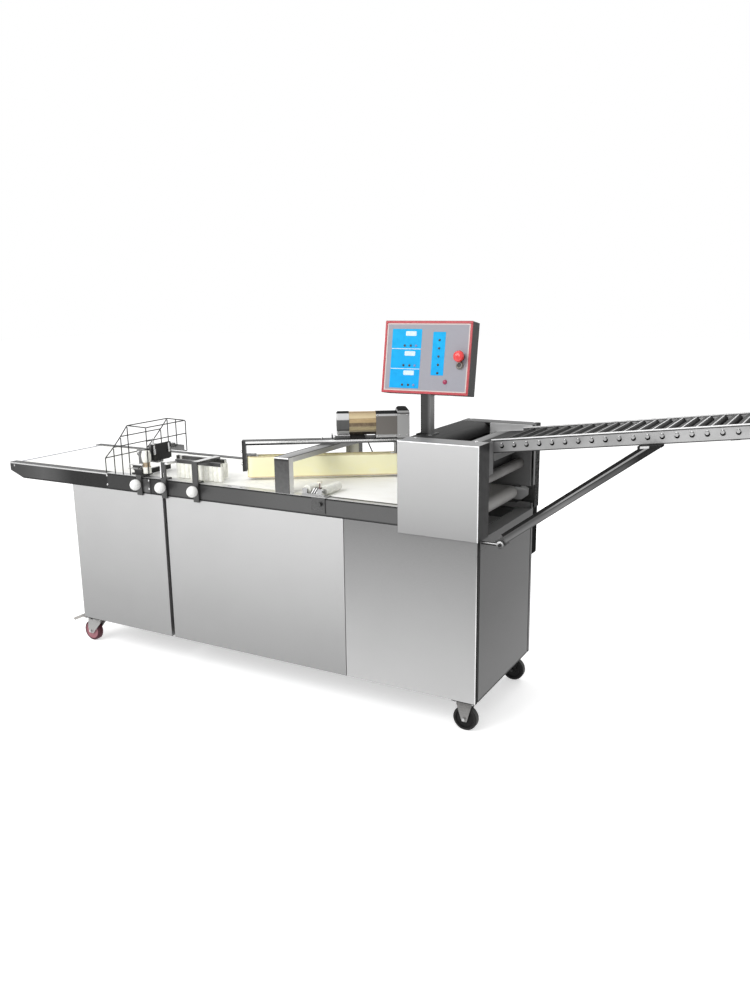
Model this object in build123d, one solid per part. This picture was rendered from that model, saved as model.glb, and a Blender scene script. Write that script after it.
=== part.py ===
from build123d import *
import math
import os

os.makedirs("parts", exist_ok=True)

# Lengths are in millimetres. X runs from the left end of the cabinet towards the in-feed,
# Y from the cabinet's front towards its back, and Z from the floor up.

# Cabinet
cabinet_length = 2100
cabinet_depth = 608
cabinet_bottom = 130
cabinet_top = 804
bay_top = 780
sheet = 1.5
panel_depth = 20
panel_splits = ((0, 570), (590, 1521.5), (1523.5, cabinet_length))
corner_gap = 8
tube_side = 40
tube_wall = 2
post_places = (22, 548, 612, 1523, 2076)
tube_front = 44
tube_rear = cabinet_depth - tube_front

# Belt conveyor
rail_top = 880
rail_flange = 40
rail_sheet = 3
rail_lip = 18
nose_left = -434
rail_right = 2078
splice_place = 508
belt_top = 878
belt_sheet = 3
belt_edge = 45
nose_axis = -405
nose_wrap = 15
tail_axis = 2014
tail_wrap = 29
drum_play = 0.4
nose_shaft = 5
tail_shaft = 10
running_play = 0.05
bed_left = -380
bed_right = 1975

# Sheeting head
head_left = 1773
head_right = 2105
head_bottom = bay_top
head_top = 1139
head_front = -12
head_back = 664
head_sheet = 2
front_box_back = 90
plate_thick = 12
front_plate = 14
rear_plate = 576
sheeting_axis = (1937.3, 984)
sheeting_radius = 76
sheeting_shaft = 17.5
pinch_axis = (2045, 976)
pinch_radius = 21.5
pinch_shaft = 10
gear_module = 4.5
sheeting_teeth = 36
pinch_teeth = 12
gear_front = 592
gear_width = 20
guard_bottom = 574
guard_left = 1850
guard_right = 2100
guard_front = 609
hood_right = 1910
hood_bottom = 1098
wall_bottom = 962

# Control box
post_place = (1809.5, 178)
box_width = 370
box_height = 280
box_depth = 62
face_centre = (1803, 178, 1435)
face_tilt = 9.5
stop_place = (147, 5)

# In-feed roller conveyor
incline = 7.2
first_axle = (2133, 1124)
infeed_pitch = 48.2
infeed_count = 18
infeed_near = 140
infeed_far = 483
infeed_sheet = 3
plate_above = 22.8
plate_below = 28.8
infeed_start = -38
infeed_end = (infeed_count - 1) * infeed_pitch + 46
infeed_radius = 19
axle_flats = 11
roller_bore = 6.75

# Rolling belt, its beam and motor, in a slanted frame that starts under the beam's left end
rolling_start = (915, 173)
rolling_angle = 32.8
rolling_left = 35
rolling_length = 668.5
rolling_low = 890
rolling_high = 985
rolling_wrap = 28
rolling_sheet = 4
drum_shaft = 8
idler_lug = 993
beam_low = 1034
beam_high = 1054
beam_width = 44
motor_height = 1121
motor_size = 100
cable_radius = 3
cable_route = (
    (530, 50, 1104), (530, 82, 1104), (535, 104, 1082), (543, 110, 1046), (556, 108, 1004), (576, 106, 960),
    (590, 104, 922), (590, 104, 880),
)

# Gantry over the belt
gantry_left = 1196
gantry_right = 1267
gantry_top = 1030
gantry_depth = 34
gantry_bar = 22
gantry_back = 603

# Rail clamps, fence and cutter
clamp_places = (449, 597, 781)
clamp_tops = (889, 959, 976)
clamp_sides = (-21, 9)
clamp_sheet = 8
clamp_low = 796
knob_height = 850
knob_radius = 25
knob_reach = 39
knob_stem = 5
fence_rows = ((613, 869, 60), (549, 827, 140))
channel_width = 16
channel_low = 950
channel_top = 966
rod_radius = 12.5
rod_pitch = 26.4
rod_low = 884
cutter_place = 490
cutter_low = 950
cutter_high = 1024
cutter_near = 38.5
cutter_far = 160
barrel_place = (474, 17)
stand_back = 36

# Wire guard
wire = 2.5
guard_profile = ((230, 949), (287, 1003), (337, 1057), (382, 1110), (495, 1107))
guard_near = 4
guard_far = 267.5
guard_low = 962
guard_bar = 435
guard_rail = 1046

# Press rollers: middle, near end and far end of each
press_places = ((1337, 24, 98), (1408, 49, 155))
press_height = 900.5
press_radius = 19
press_axle = 5

# Castors
castor_front = 40
castor_rear = 568
swivel_place = 50
trail = 35
fixed_place = 2045
wheel_radius = 50
wheel_width = 30
wheel_axle = 6
pedal_height = 116.5

infeed_tilt = math.radians(incline)
infeed_right = first_axle[0] + infeed_end * math.cos(infeed_tilt) + plate_below * math.sin(infeed_tilt)
origin_x = (nose_left + infeed_right) / 2
origin_y = (head_back - knob_reach - knob_radius) / 2


def block(x0, x1, y0, y1, z0, z1):
    """Box between two values on each axis."""
    centre = Pos((x0 + x1) / 2, (y0 + y1) / 2, (z0 + z1) / 2)
    return centre * Box(x1 - x0, y1 - y0, z1 - z0)


def rod_x(y, z, radius, x0, x1):
    """Round bar along X."""
    return Pos((x0 + x1) / 2, y, z) * Rot(0, 90, 0) * Cylinder(radius, x1 - x0)


def rod_y(x, z, radius, y0, y1):
    """Round bar along Y."""
    return Pos(x, (y0 + y1) / 2, z) * Rot(90, 0, 0) * Cylinder(radius, y1 - y0)


def rod_z(x, y, radius, z0, z1):
    """Round bar along Z."""
    return Pos(x, y, (z0 + z1) / 2) * Cylinder(radius, z1 - z0)


def rod_between(start, end, radius):
    """Round bar between two points."""
    line = Vector(*end) - Vector(*start)
    return extrude(Plane(origin=start, z_dir=line) * Circle(radius), amount=line.length)


def prism_xz(points, y0, y1):
    """Outline in X and Z, drawn out along Y."""
    face = make_face(Polyline(*points, close=True))
    return Pos(0, y0, 0) * extrude(Plane.XZ * face, amount=-(y1 - y0))


def prism_yz(points, x0, x1):
    """Outline in Y and Z, drawn out along X."""
    face = make_face(Polyline(*points, close=True))
    return Pos(x0, 0, 0) * extrude(Plane.YZ * face, amount=x1 - x0)


def mirror_depth(solid):
    """The same piece on the other side of the conveyor."""
    return mirror(solid, about=Plane.XZ.offset(-cabinet_depth / 2))


def save(name, *pieces):
    """Write the pieces of one node, moved to the middle of the machine's footprint."""
    place = Location((-origin_x, -origin_y, 0))
    solids = [solid.moved(place) for piece in pieces for solid in piece.solids()]
    shape = solids[0] if len(solids) == 1 else Compound(children=solids)
    export_step(shape, f"parts/{name}.step")


# Cabinet frame of square tubes
def square_tube(start, end):
    line = Vector(*end) - Vector(*start)
    plane = Plane(origin=start, x_dir=(0, 1, 0) if abs(line.Y) < 1 else (1, 0, 0), z_dir=line)
    inside = tube_side - 2 * tube_wall
    section = Rectangle(tube_side, tube_side) - Rectangle(inside, inside)
    return extrude(plane * section, amount=line.length)


def base_frame():
    half = tube_side / 2
    low = cabinet_bottom + half
    tubes = []
    bays = [(post_places[first], post_places[first + 1]) for first in (0, 2, 3)]
    for x in post_places:
        top = bay_top if x == post_places[-1] else cabinet_top
        for y in (tube_front, tube_rear):
            tubes.append(square_tube((x, y, cabinet_bottom), (x, y, top)))
        for z in (low, top - half):
            tubes.append(square_tube((x, tube_front + half, z), (x, tube_rear - half, z)))
    for left, right in bays:
        top = bay_top if right == post_places[-1] else cabinet_top
        for y in (tube_front, tube_rear):
            for z in (low, top - half):
                tubes.append(square_tube((left + half, y, z), (right - half, y, z)))
    return tubes


# Cabinet panels, folded pans
def front_pan(left, right):
    body = block(left, right, 0, panel_depth, cabinet_bottom, cabinet_top)
    body = fillet(body.faces().sort_by(Axis.Y)[0].edges(), 2)
    low, high = cabinet_bottom + sheet, cabinet_top - sheet
    hollow = block(left + sheet, right - sheet, sheet, panel_depth + 1, low, high)
    return body - hollow


def end_pan(outer, inner, top):
    near = panel_depth + corner_gap
    far = cabinet_depth - near
    low, high = min(outer, inner), max(outer, inner)
    body = block(low, high, near, far, cabinet_bottom, top)
    step = sheet if inner > outer else -sheet
    hollow_ends = sorted((outer + step, inner + step))
    return body - block(*hollow_ends, near + sheet, far - sheet, cabinet_bottom + sheet, top - sheet)


def cabinet_panels():
    rear = [mirror_depth(front_pan(left, right)) for left, right in panel_splits]
    left_end = end_pan(0, panel_depth - tube_wall * 9, cabinet_top)
    right_end = end_pan(cabinet_length, cabinet_length - 3, bay_top)
    return rear + [left_end, right_end]


# Conveyor rails, bed and belt
def rail_section():
    inside = rail_flange - rail_sheet
    return [
        (0, cabinet_top), (rail_flange, cabinet_top), (rail_flange, cabinet_top + rail_sheet),
        (rail_sheet, cabinet_top + rail_sheet), (rail_sheet, rail_top - rail_sheet),
        (inside, rail_top - rail_sheet), (inside, rail_top - rail_lip),
        (rail_flange, rail_top - rail_lip), (rail_flange, rail_top), (0, rail_top),
    ]


def nose_height():
    return belt_top - nose_wrap


def tail_height():
    return belt_top - tail_wrap


def nose_rail():
    rail = prism_yz(rail_section(), nose_left, splice_place - 2)
    corner = [(nose_left, cabinet_top), (nose_left, cabinet_top + 34), (nose_left + 90, cabinet_top)]
    rail -= prism_xz(corner, -1, rail_flange + 1)
    return rail - rod_y(nose_axis, nose_height(), nose_shaft + running_play, -1, rail_flange + 1)


def main_rail():
    rail = prism_yz(rail_section(), splice_place, rail_right)
    lower = [(rail_right, cabinet_top), (rail_right, cabinet_top + 30), (rail_right - 40, cabinet_top)]
    upper = [(rail_right, rail_top), (rail_right, rail_top - 16), (rail_right - 28, rail_top)]
    rail -= prism_xz(lower, -1, rail_flange + 1)
    rail -= prism_xz(upper, -1, rail_flange + 1)
    return rail - rod_y(tail_axis, tail_height(), tail_shaft + running_play, -1, rail_flange + 1)


def conveyor_frame():
    low, high = cabinet_top + 8, rail_top - 8
    splice = block(splice_place - 68, splice_place + 68, rail_sheet, 2 * rail_sheet, low, high)
    near = [nose_rail(), main_rail(), splice]
    far = [mirror_depth(piece) for piece in near]
    for middle, half in ((943, 12), (1004, 8)):
        near[1] -= block(middle - half, middle + half, 15, 23, rail_top - 10, rail_top + 1)
    bed_top = belt_top - belt_sheet - 0.01
    bed = block(bed_left, bed_right, rail_flange, cabinet_depth - rail_flange, bed_top - rail_sheet, bed_top)
    gland = cable_gland(cable_route[-1], (0, 0, 1), 12)
    return near + far + [bed, gland]


def belt_outline(inset):
    nose = Pos(nose_axis, nose_height()) * Circle(nose_wrap - inset)
    tail = Pos(tail_axis, tail_height()) * Circle(tail_wrap - inset)
    return make_hull([*nose.edges(), *tail.edges()])


def conveyor_belt():
    loop = belt_outline(0) - belt_outline(belt_sheet)
    width = cabinet_depth - 2 * belt_edge
    return Pos(0, belt_edge, 0) * extrude(Plane.XZ * loop, amount=-width)


def belt_drum(x, z, wrap, shaft):
    body = rod_y(x, z, wrap - belt_sheet - drum_play, belt_edge + 1, cabinet_depth - belt_edge - 1)
    return body + rod_y(x, z, shaft, 0.5, cabinet_depth - 0.5)


# Sheeting head
def front_housing():
    body = block(head_left, head_right, head_front, front_box_back, head_bottom, head_top)
    front_edges = body.faces().sort_by(Axis.Y)[0].edges()
    body = fillet(front_edges, 3)
    body -= block(
        head_left + head_sheet, head_right - head_sheet, head_front + head_sheet, front_box_back - head_sheet,
        head_bottom - 1, head_top - head_sheet,
    )
    right = head_right - head_sheet
    body -= block(head_left - 1, right, -0.5, front_box_back + 1, head_bottom - 1, rail_top + 4)
    body -= rod_y(*sheeting_axis, sheeting_shaft + 5, front_box_back - 5, front_box_back + 1)
    return body - rod_y(*pinch_axis, pinch_shaft + 4, front_box_back - 5, front_box_back + 1)


def rear_housing():
    inner_face = rear_plate + plate_thick
    body = block(head_left, head_right, inner_face, head_back, head_bottom, head_top)
    body = fillet(body.faces().sort_by(Axis.Y)[-1].edges(), 3)
    body += block(guard_left, guard_right, guard_front, head_back - 3, guard_bottom, head_bottom)
    body -= block(
        head_left + head_sheet, head_right - head_sheet, inner_face - 1, head_back - head_sheet,
        head_bottom + head_sheet, head_top - head_sheet,
    )
    body -= block(
        guard_left + head_sheet, guard_right - head_sheet, guard_front + head_sheet, head_back - 3 - head_sheet,
        guard_bottom + head_sheet, head_bottom + 3,
    )
    low, high = head_bottom - 1, rail_top + 2
    return body - block(head_left - 1, head_right + 1, inner_face - 1, guard_front, low, high)


def side_plate(near):
    plate = block(1790, 2095, near, near + plate_thick, rail_top, head_top - head_sheet)
    plate -= rod_y(*sheeting_axis, sheeting_shaft + running_play, near - 1, near + plate_thick + 1)
    return plate - rod_y(*pinch_axis, pinch_shaft + running_play, near - 1, near + plate_thick + 1)


def hood():
    left = head_left + 3
    outer = block(left, hood_right, front_box_back, rear_plate, wall_bottom, head_top)
    outer = fillet(outer.edges().filter_by(Axis.Y).group_by(Axis.X)[-1].sort_by(Axis.Z)[-1], 38)
    inner = block(left + 2, hood_right - 2, front_box_back - 1, rear_plate + 1, wall_bottom - 1, head_top - 2)
    inner = fillet(inner.edges().filter_by(Axis.Y).group_by(Axis.X)[-1].sort_by(Axis.Z)[-1], 36)
    below = block(left + 2, hood_right + 1, front_box_back - 1, rear_plate + 1, wall_bottom - 1, hood_bottom)
    return outer - inner - below


def apron():
    points = [(1942, 1099), (2090, 1114), (2090, 1118), (1942, 1103)]
    return prism_xz(points, front_box_back, rear_plate)


def head_tray():
    lip = 37
    floor = block(2040, 2101, 22, 586, bay_top, bay_top + 2)
    return floor + block(2101, 2103, 22, 586, bay_top + 2 - lip, bay_top + 2)


def infeed_place():
    return Location((first_axle[0], 0, first_axle[1]), (0, -incline, 0))


def infeed_ledge():
    top = -plate_below
    flat = block(infeed_start, -8, infeed_near - 1, rear_plate, top - 4, top)
    leg = block(infeed_start, infeed_start + 4, infeed_near - 1, rear_plate, top - 30, top - 4)
    return infeed_place() * (flat + leg)


def head_frame():
    bracket = block(2098, 2101, front_box_back, infeed_near - 1, 1012, head_top - 2)
    return [
        side_plate(front_plate), side_plate(rear_plate), hood(), apron(), head_tray(), infeed_ledge(), bracket,
    ]


def involute(angle):
    return math.tan(angle) - angle


def tooth_point(radius, base, half_turn, side):
    pressure = math.acos(min(1, base / radius))
    turn = side * (half_turn - involute(pressure))
    return radius, turn


def gear(teeth, bore):
    """Spur gear with short involute teeth, centred on its own axis along Z."""
    pitch = gear_module * teeth / 2
    base = pitch * math.cos(math.radians(20))
    tip = pitch + 0.75 * gear_module
    root = pitch - 0.95 * gear_module
    backlash = 0.25 / pitch
    half_turn = math.pi / (2 * teeth) + involute(math.radians(20)) - backlash
    radii = (max(root, base), pitch, tip)
    outline = []
    for number in range(teeth):
        middle = 2 * math.pi * number / teeth
        flank = [tooth_point(radius, base, half_turn, -1) for radius in radii]
        flank = [(root, flank[0][1])] + flank if root < base else flank
        flank += [(radius, -turn) for radius, turn in reversed(flank)]
        outline += [(r * math.cos(middle + a), r * math.sin(middle + a)) for r, a in flank]
    wheel = extrude(make_face(Polyline(*outline, close=True)), amount=gear_width)
    return wheel - Cylinder(bore, 3 * gear_width)


def roller_with_gear(axis, radius, shaft, teeth, first_turn):
    x, z = axis
    body = rod_y(x, z, radius, front_box_back + 2, rear_plate - 2)
    body += rod_y(x, z, shaft, front_plate - 8, gear_front + gear_width + 6)
    wheel = Pos(x, gear_front, z) * Rot(-90, 0, 0) * Rot(0, 0, first_turn) * gear(teeth, shaft)
    return body + wheel


def gear_line():
    """Angle of the line from the sheeting roller to the pinch roller, in the gears' own plane."""
    return math.degrees(math.atan2(-(pinch_axis[1] - sheeting_axis[1]), pinch_axis[0] - sheeting_axis[0]))


# Control box on its post
def face_frame():
    """Plane of the control face: X to the right, Y up the face, Z out towards the operator."""
    tilt = math.radians(face_tilt)
    return Plane(origin=face_centre, x_dir=(1, 0, 0), z_dir=(0, -math.cos(tilt), math.sin(tilt)))


def box_solid():
    body = Pos(0, 0, -box_depth / 2) * Box(box_width, box_height, box_depth)
    return fillet(body.edges().filter_by(Axis.Z), 3)


def control_box():
    case = box_solid() - Pos(0, 0, 1 - box_depth / 2) * Box(box_width - 3, box_height - 3, box_depth - 1)
    rim = box_width - 3
    plate = Pos(0, 0, -1) * Box(rim, box_height - 3, 2)
    plate -= Pos(*stop_place) * Cylinder(8 + running_play, 20)
    collar = Pos(stop_place[0], stop_place[1], 4) * (Cylinder(15, 8) - Cylinder(8 + running_play, 20))
    place = Location(face_frame())
    return [place * case, place * plate, place * collar]


def emergency_stop():
    profile = [(0, -22), (8, -22), (8, 15), (13, 15), (20, 21), (22, 27), (19, 34), (10, 37.5), (0, 38.5)]
    body = revolve(Plane.XZ * make_face(Polyline(*profile, close=True)), Axis.Z)
    return Location(face_frame()) * Pos(*stop_place) * body


def control_post():
    x, y = post_place
    tube = square_tube((x, y, head_top), (x, y, 1330)) - Location(face_frame()) * box_solid()
    foot = block(x - 34, x + 34, y - 34, y + 34, head_top, head_top + 4) - block(
        x - tube_side / 2, x + tube_side / 2, y - tube_side / 2, y + tube_side / 2, head_top - 1, head_top + 5)
    return tube.solids().sort_by(Axis.Z)[0] + foot


# In-feed roller conveyor, in a frame at the first axle with X up the slope
def infeed_plate():
    hem = 6
    foot = 18
    near = infeed_near
    web = block(infeed_start, infeed_end, near, near + infeed_sheet, -plate_below, plate_above)
    web += block(infeed_start, infeed_end, near - hem, near, plate_above - 2, plate_above)
    web += block(infeed_start, infeed_end, near, near + foot, -plate_below, 2 - plate_below)
    return web


def infeed_axle(place, grow=0):
    hexagon = RegularPolygon(axle_flats / 2 + grow, 6, major_radius=False)
    length = infeed_far - infeed_near + 14
    return Pos(place, infeed_near - 7, 0) * extrude(Plane.XZ * hexagon, amount=-length)


def infeed_frame():
    middle = (infeed_near + infeed_far) / 2
    near = infeed_plate()
    for number in range(infeed_count):
        near -= infeed_axle(number * infeed_pitch)
    far = mirror(near, about=Plane.XZ.offset(-middle))
    axles = [infeed_axle(number * infeed_pitch) for number in range(infeed_count)]
    bars = [
        block(place - 15, place + 15, infeed_near + 22, infeed_far - 22, -plate_below - 4, -plate_below)
        for place in (535, infeed_end - 60)
    ]
    return [infeed_place() * piece for piece in [near, far] + axles + bars]


def infeed_roller(number):
    length = infeed_far - infeed_near - 2 * infeed_sheet - 6
    half = length / 2
    cap = 12
    wall = 1.5
    profile = [
        (roller_bore, -half), (infeed_radius, -half), (infeed_radius, half), (roller_bore, half),
        (roller_bore, half - cap), (infeed_radius - wall, half - cap), (infeed_radius - wall, cap - half),
        (roller_bore, cap - half),
    ]
    body = revolve(Plane.XZ * make_face(Polyline(*profile, close=True)), Axis.Z)
    middle = (infeed_near + infeed_far) / 2
    return infeed_place() * Pos(number * infeed_pitch, middle, 0) * Rot(90, 0, 0) * body


def infeed_strut():
    pin_x, pin_z = 2176, 772
    low = (pin_x, 47, 787)
    high = (2646, 128, 1135)
    line = Vector(*high) - Vector(*low)
    plane = Plane(origin=low, x_dir=(0, 1, 0), z_dir=line)
    side = 37
    inner = side / 2 - 2
    section = Rectangle(side, side) - Rectangle(side - 4, side - 4)
    tube = extrude(plane.offset(16) * section, amount=line.length + 60)
    tube -= infeed_place() * block(-100, 1000, 0, 400, -plate_below - 8, 300)
    tongue = Location(plane) * block(-3, 3, -24, 8, -23, 18)
    tongue += Location(plane) * block(-inner, inner, -inner, inner, 16, 20)
    tongue -= rod_y(pin_x, pin_z, 6, 0, 90)
    eye = rod_x(34, pin_z, 6, 2103, pin_x - 8)
    eye += rod_y(pin_x, pin_z, 14, 28, 40)
    eye -= rod_y(pin_x, pin_z, 6, 0, 90)
    pin = rod_y(pin_x, pin_z, 6, 22, 58)
    bracket = block(500, 580, infeed_near - 30, infeed_near + 14, -plate_below - 8, -plate_below)
    bracket = infeed_place() * bracket
    return [tube + tongue, eye, pin, bracket]


# Rolling belt unit
def rolling_place():
    return Location((rolling_start[0], rolling_start[1], 0), (0, 0, rolling_angle))


def rolling_outline(inset):
    left = Pos(rolling_left, 0) * Circle(rolling_wrap - inset)
    right = Pos(rolling_length, 0) * Circle(rolling_wrap - inset)
    return make_hull([*left.edges(), *right.edges()])


def rolling_belt():
    loop = rolling_outline(0) - rolling_outline(rolling_sheet)
    return rolling_place() * Pos(0, 0, rolling_low) * extrude(loop, amount=rolling_high - rolling_low)


def rolling_drum(place, top):
    body = rod_z(place, 0, rolling_wrap - rolling_sheet - drum_play, rolling_low + 2, rolling_high - 2)
    body += rod_z(place, 0, drum_shaft, rolling_low - 4, top)
    return rolling_place() * body


def rolling_beam():
    half = beam_width / 2
    left, right = rolling_left - 30, rolling_length + 30
    tube = block(left, right, -half, half, beam_low, beam_high)
    tube -= block(left - 1, right + 1, 2 - half, half - 2, beam_low + 2, beam_high - 2)
    tube -= rod_z(rolling_length, 0, drum_shaft + running_play, beam_low - 1, beam_high + 1)
    left_arm = block(left - 17, left, -half, half, 918, beam_high)
    left_arm += block(left - 1, rolling_left + 14, -14, 14, idler_lug - 6, idler_lug)
    left_arm -= rod_z(rolling_left, 0, drum_shaft + running_play, idler_lug - 7, idler_lug + 1)
    right_arm = block(right, right + 6, -half, half, 930, beam_high)
    crossing = 376.5
    spacer = block(crossing - 28, crossing + 28, -half, half, gantry_top, beam_low)
    return [rolling_place() * piece for piece in (tube, left_arm, right_arm, spacer)]


def motor_prism(radius, start, end, sides=8):
    turn = 180 / sides
    section = Rot(0, 0, turn) * RegularPolygon(radius, sides, major_radius=False)
    plane = Plane(origin=(start, 0, motor_height), x_dir=(0, 1, 0), z_dir=(1, 0, 0))
    return extrude(plane * section, amount=end - start)


def motor_body():
    body = motor_prism(motor_size / 2, 462, 580)
    slot_depth = 4
    for number in range(8):
        turn = Location((0, 0, motor_height), (45 * number + 22.5, 0, 0))
        groove = block(461, 581, -5, 5, motor_size / 2 * 1.0824 - slot_depth, motor_size)
        body -= turn * groove
    return rolling_place() * body


def rolling_gearbox():
    cap = motor_prism(motor_size / 2 + 1, 407, 462)
    cap = chamfer(cap.faces().sort_by(Axis.X)[0].edges(), 5)
    half = motor_size / 2 - 1
    box = block(580, 673, -half, half, 1058, 1168)
    box = fillet(box.edges().filter_by(Axis.X), 5)
    cover = block(673, 727, -half - 2, half + 2, 1058, 1186)
    cover = fillet(cover.edges().filter_by(Axis.Y).group_by(Axis.Z)[-1], 16)
    plate = block(395, 727, -half, half, beam_high, 1058)
    for place in (rolling_length,):
        plate -= rod_z(place, 0, drum_shaft + 2, beam_high - 1, 1060)
    high = motor_height - motor_size / 2 - 1
    foot_profile = [(-40, 1058), (40, 1058), (26, high), (-26, high)]
    foot = prism_yz(foot_profile, 466, 532)
    foot -= motor_prism(motor_size / 2, 460, 582)
    gland = cable_gland(cable_route[0], (0, 1, 0), 9)
    return [rolling_place() * piece for piece in (cap, box, cover, plate, foot)] + [gland]


def cable_radii():
    """Largest bend that each pair of runs allows."""
    radii = []
    for before, here, after in zip(cable_route, cable_route[1:], cable_route[2:]):
        first = Vector(*here) - Vector(*before)
        second = Vector(*after) - Vector(*here)
        turn = math.radians(first.get_angle(second))
        radii.append(0.45 * min(first.length, second.length) / math.tan(turn / 2))
    return radii


def motor_cable():
    route = FilletPolyline(*cable_route, radius=cable_radii())
    start = Plane(origin=cable_route[0], z_dir=Vector(*cable_route[1]) - Vector(*cable_route[0]))
    return rolling_place() * sweep(start * Circle(cable_radius), path=route)


def cable_gland(point, direction, length):
    """Sleeve that the cable comes out of."""
    plane = Plane(origin=point, z_dir=direction)
    sleeve = extrude(plane * (Circle(cable_radius + 4) - Circle(cable_radius + 0.3)), amount=length)
    return rolling_place() * sleeve


# Gantry
def gantry():
    bridge = block(gantry_left, gantry_right, 0, gantry_back, rail_top, gantry_top)
    bridge -= block(
        gantry_left - 1, gantry_right + 1, gantry_depth, gantry_back - gantry_depth, rail_top - 1,
        gantry_top - gantry_bar,
    )
    bridge = fillet(bridge.edges().filter_by(Axis.X).group_by(Axis.Z)[-1], 6)
    return bridge - block(gantry_left + 3, gantry_right - 3, 3, gantry_back - 3, rail_top - 1, gantry_top - 3)


# Rail clamps, fence and cutter
def rail_clamp(place, top):
    left, right = [place + side for side in clamp_sides]
    front = -clamp_sheet - 1
    bar = block(left, right, front, -1, clamp_low, max(top, rail_top + 7))
    bar += block(left, right, front, 32, rail_top, rail_top + 7)
    return bar - rod_y(place, knob_height, knob_stem + running_play, front - 1, 0)


def clamp_knob(place):
    ball = Pos(place, -knob_reach, knob_height) * Sphere(knob_radius)
    return ball + rod_y(place, knob_height, knob_stem, -knob_reach, -0.4)


def fence_channel(left, right, y):
    half = channel_width / 2
    body = block(left, right, y - half, y + half, channel_low, channel_top)
    return body - block(left - 1, right + 1, y - half + 2, y + half - 2, channel_low - 1, channel_top - 2)


def rail_clamps():
    clamps = [rail_clamp(place, top) for place, top in zip(clamp_places, clamp_tops)]
    front = -clamp_sheet - 1
    left, right = [clamp_places[1] + side for side in clamp_sides]
    middle = (left + right) / 2
    end = fence_rows[0][0] + 9
    clamps[1] -= block(middle - 5, middle + 5, front - 1, 0, rail_top + 7, rail_top + 32)
    clamps[1] += block(right, end, front, -1, channel_low + 1, clamp_tops[1])
    tie = block(right, end, -1, fence_rows[0][2] - channel_width / 2, channel_low + 1, clamp_tops[1])
    left, right = [clamp_places[2] + side for side in clamp_sides]
    arm = block(left, right, -1, 152, channel_top, clamp_tops[2])
    return clamps + [tie, arm] + [fence_channel(*row) for row in fence_rows]


def nylon_guides():
    """Two corrugated strips: round ribs joined by a thin web, with a pin at the top of each rib."""
    strips = []
    for left, right, y in fence_rows:
        count = int((right - 3 - rod_radius - left + 2) / rod_pitch) + 1
        spots = [right - 3 - number * rod_pitch for number in range(count)]
        strip = block(spots[-1], spots[0], y - 4, y + 4, rod_low + 2, channel_low)
        for x in spots:
            strip += rod_z(x, y, rod_radius, rod_low, channel_low)
            strip += rod_z(x, y, 5, channel_low, channel_top - 2)
        strips.append(strip)
    return strips


def barrel_roller():
    belly = ThreePointArc((17, 948), (21.5, 973), (17, 998))
    neck = Polyline((17, 998), (0, 998), (0, 897), (19, 897), (19, 926), (15, 930), (15, 944), (17, 948))
    return Pos(*barrel_place, 0) * revolve(Plane.XZ * make_face([belly, neck]), Axis.Z)


def cutter_stand():
    shelf = block(404, 490, -9, stand_back, 889, 897)
    taper = [(417, 897), (440, 897), (441, 965), (452, 984), (452, 999), (408, 999), (408, 976), (416, 968)]
    upright = prism_xz(taper, stand_back - 8, stand_back)
    jaw = [(380, 914), (412, 917), (420, 909), (424, 897), (466, 897), (466, 916), (440, 917), (452, 926),
           (470, 935), (470, 943), (425, 939), (399, 941), (386, 932), (399, 934), (414, 931), (410, 922)]
    lug = block(424, 450, -1, stand_back - 8, 897, 913)
    cross = block(411, 431, stand_back, 262, 977, 997)
    rear = block(400, 482, 262, 265, 962, 990)
    groove = cutter_place - 13.5
    guide = block(431, groove, 82, 118, 934, 1016)
    cheeks = [block(groove, groove + 4.5, *side, 934, 1016) for side in ((82, 94.6), (105.4, 118))]
    anvil = block(436, 450, stand_back, 199, 884, 906)
    return [shelf, upright, prism_xz(jaw, -9, -1), lug, cross, rear, guide, *cheeks, anvil]


def cutter_blade():
    holder = block(cutter_place - 5, cutter_place + 5, cutter_near, cutter_far, cutter_low, cutter_high)
    holder = fillet(holder.edges().filter_by(Axis.X), 4)
    holder += block(cutter_place - 13, cutter_place - 4, 95, 105, cutter_low + 6, cutter_high - 6)
    x = cutter_place
    edge = [(x - 2, cutter_low + 6), (x + 2, cutter_low + 6), (x, cutter_low - 4)]
    return holder + prism_xz(edge, cutter_near + 8, cutter_far - 8)


def wire_run(points, y):
    """Straight wires along a line of corners, each stopped where the next one turns away."""
    spots = [Vector(x, y, z) for x, z in points]
    lines = [(b - a).normalized() for a, b in zip(spots, spots[1:])]
    trims = [wire * math.tan(math.radians(a.get_angle(b)) / 2) for a, b in zip(lines, lines[1:])]
    starts = [0] + trims
    ends = trims + [0]
    rods = []
    for a, b, line, start, end in zip(spots, spots[1:], lines, starts, ends):
        rods.append(rod_between(a + line * start, b - line * end, wire))
    return rods


def guard_cage():
    right, top = guard_profile[-1]
    near = [(guard_profile[0][0], rail_top), *guard_profile, (right, rail_top)]
    slope = math.radians(43.4)
    far_left = guard_profile[0][0] + (guard_low - guard_profile[0][1]) / math.tan(slope)
    far = [(far_left, guard_low), *guard_profile[1:], (right, guard_low)]
    wires = wire_run(near, guard_near) + wire_run(far, guard_far)
    wires.append(rod_x(guard_far, guard_low, wire, far_left + 5, right - wire))
    for before, corner in zip(guard_profile, guard_profile[1:4]):
        lean = math.atan2(corner[1] - before[1], corner[0] - before[0])
        end = corner[1] - wire / math.cos(lean) - wire * math.tan(lean)
        wires.append(rod_z(corner[0], guard_near, wire, rail_top, end))
        wires.append(rod_z(corner[0], guard_far, wire, guard_low + wire, end))
    wires.append(rod_z(guard_bar, guard_far, wire, guard_low + wire, 1105.8))
    for x, z in (*guard_profile, (right, guard_rail)):
        wires.append(rod_y(x, z, wire, guard_near + wire, guard_far - wire))
    return wires


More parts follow.
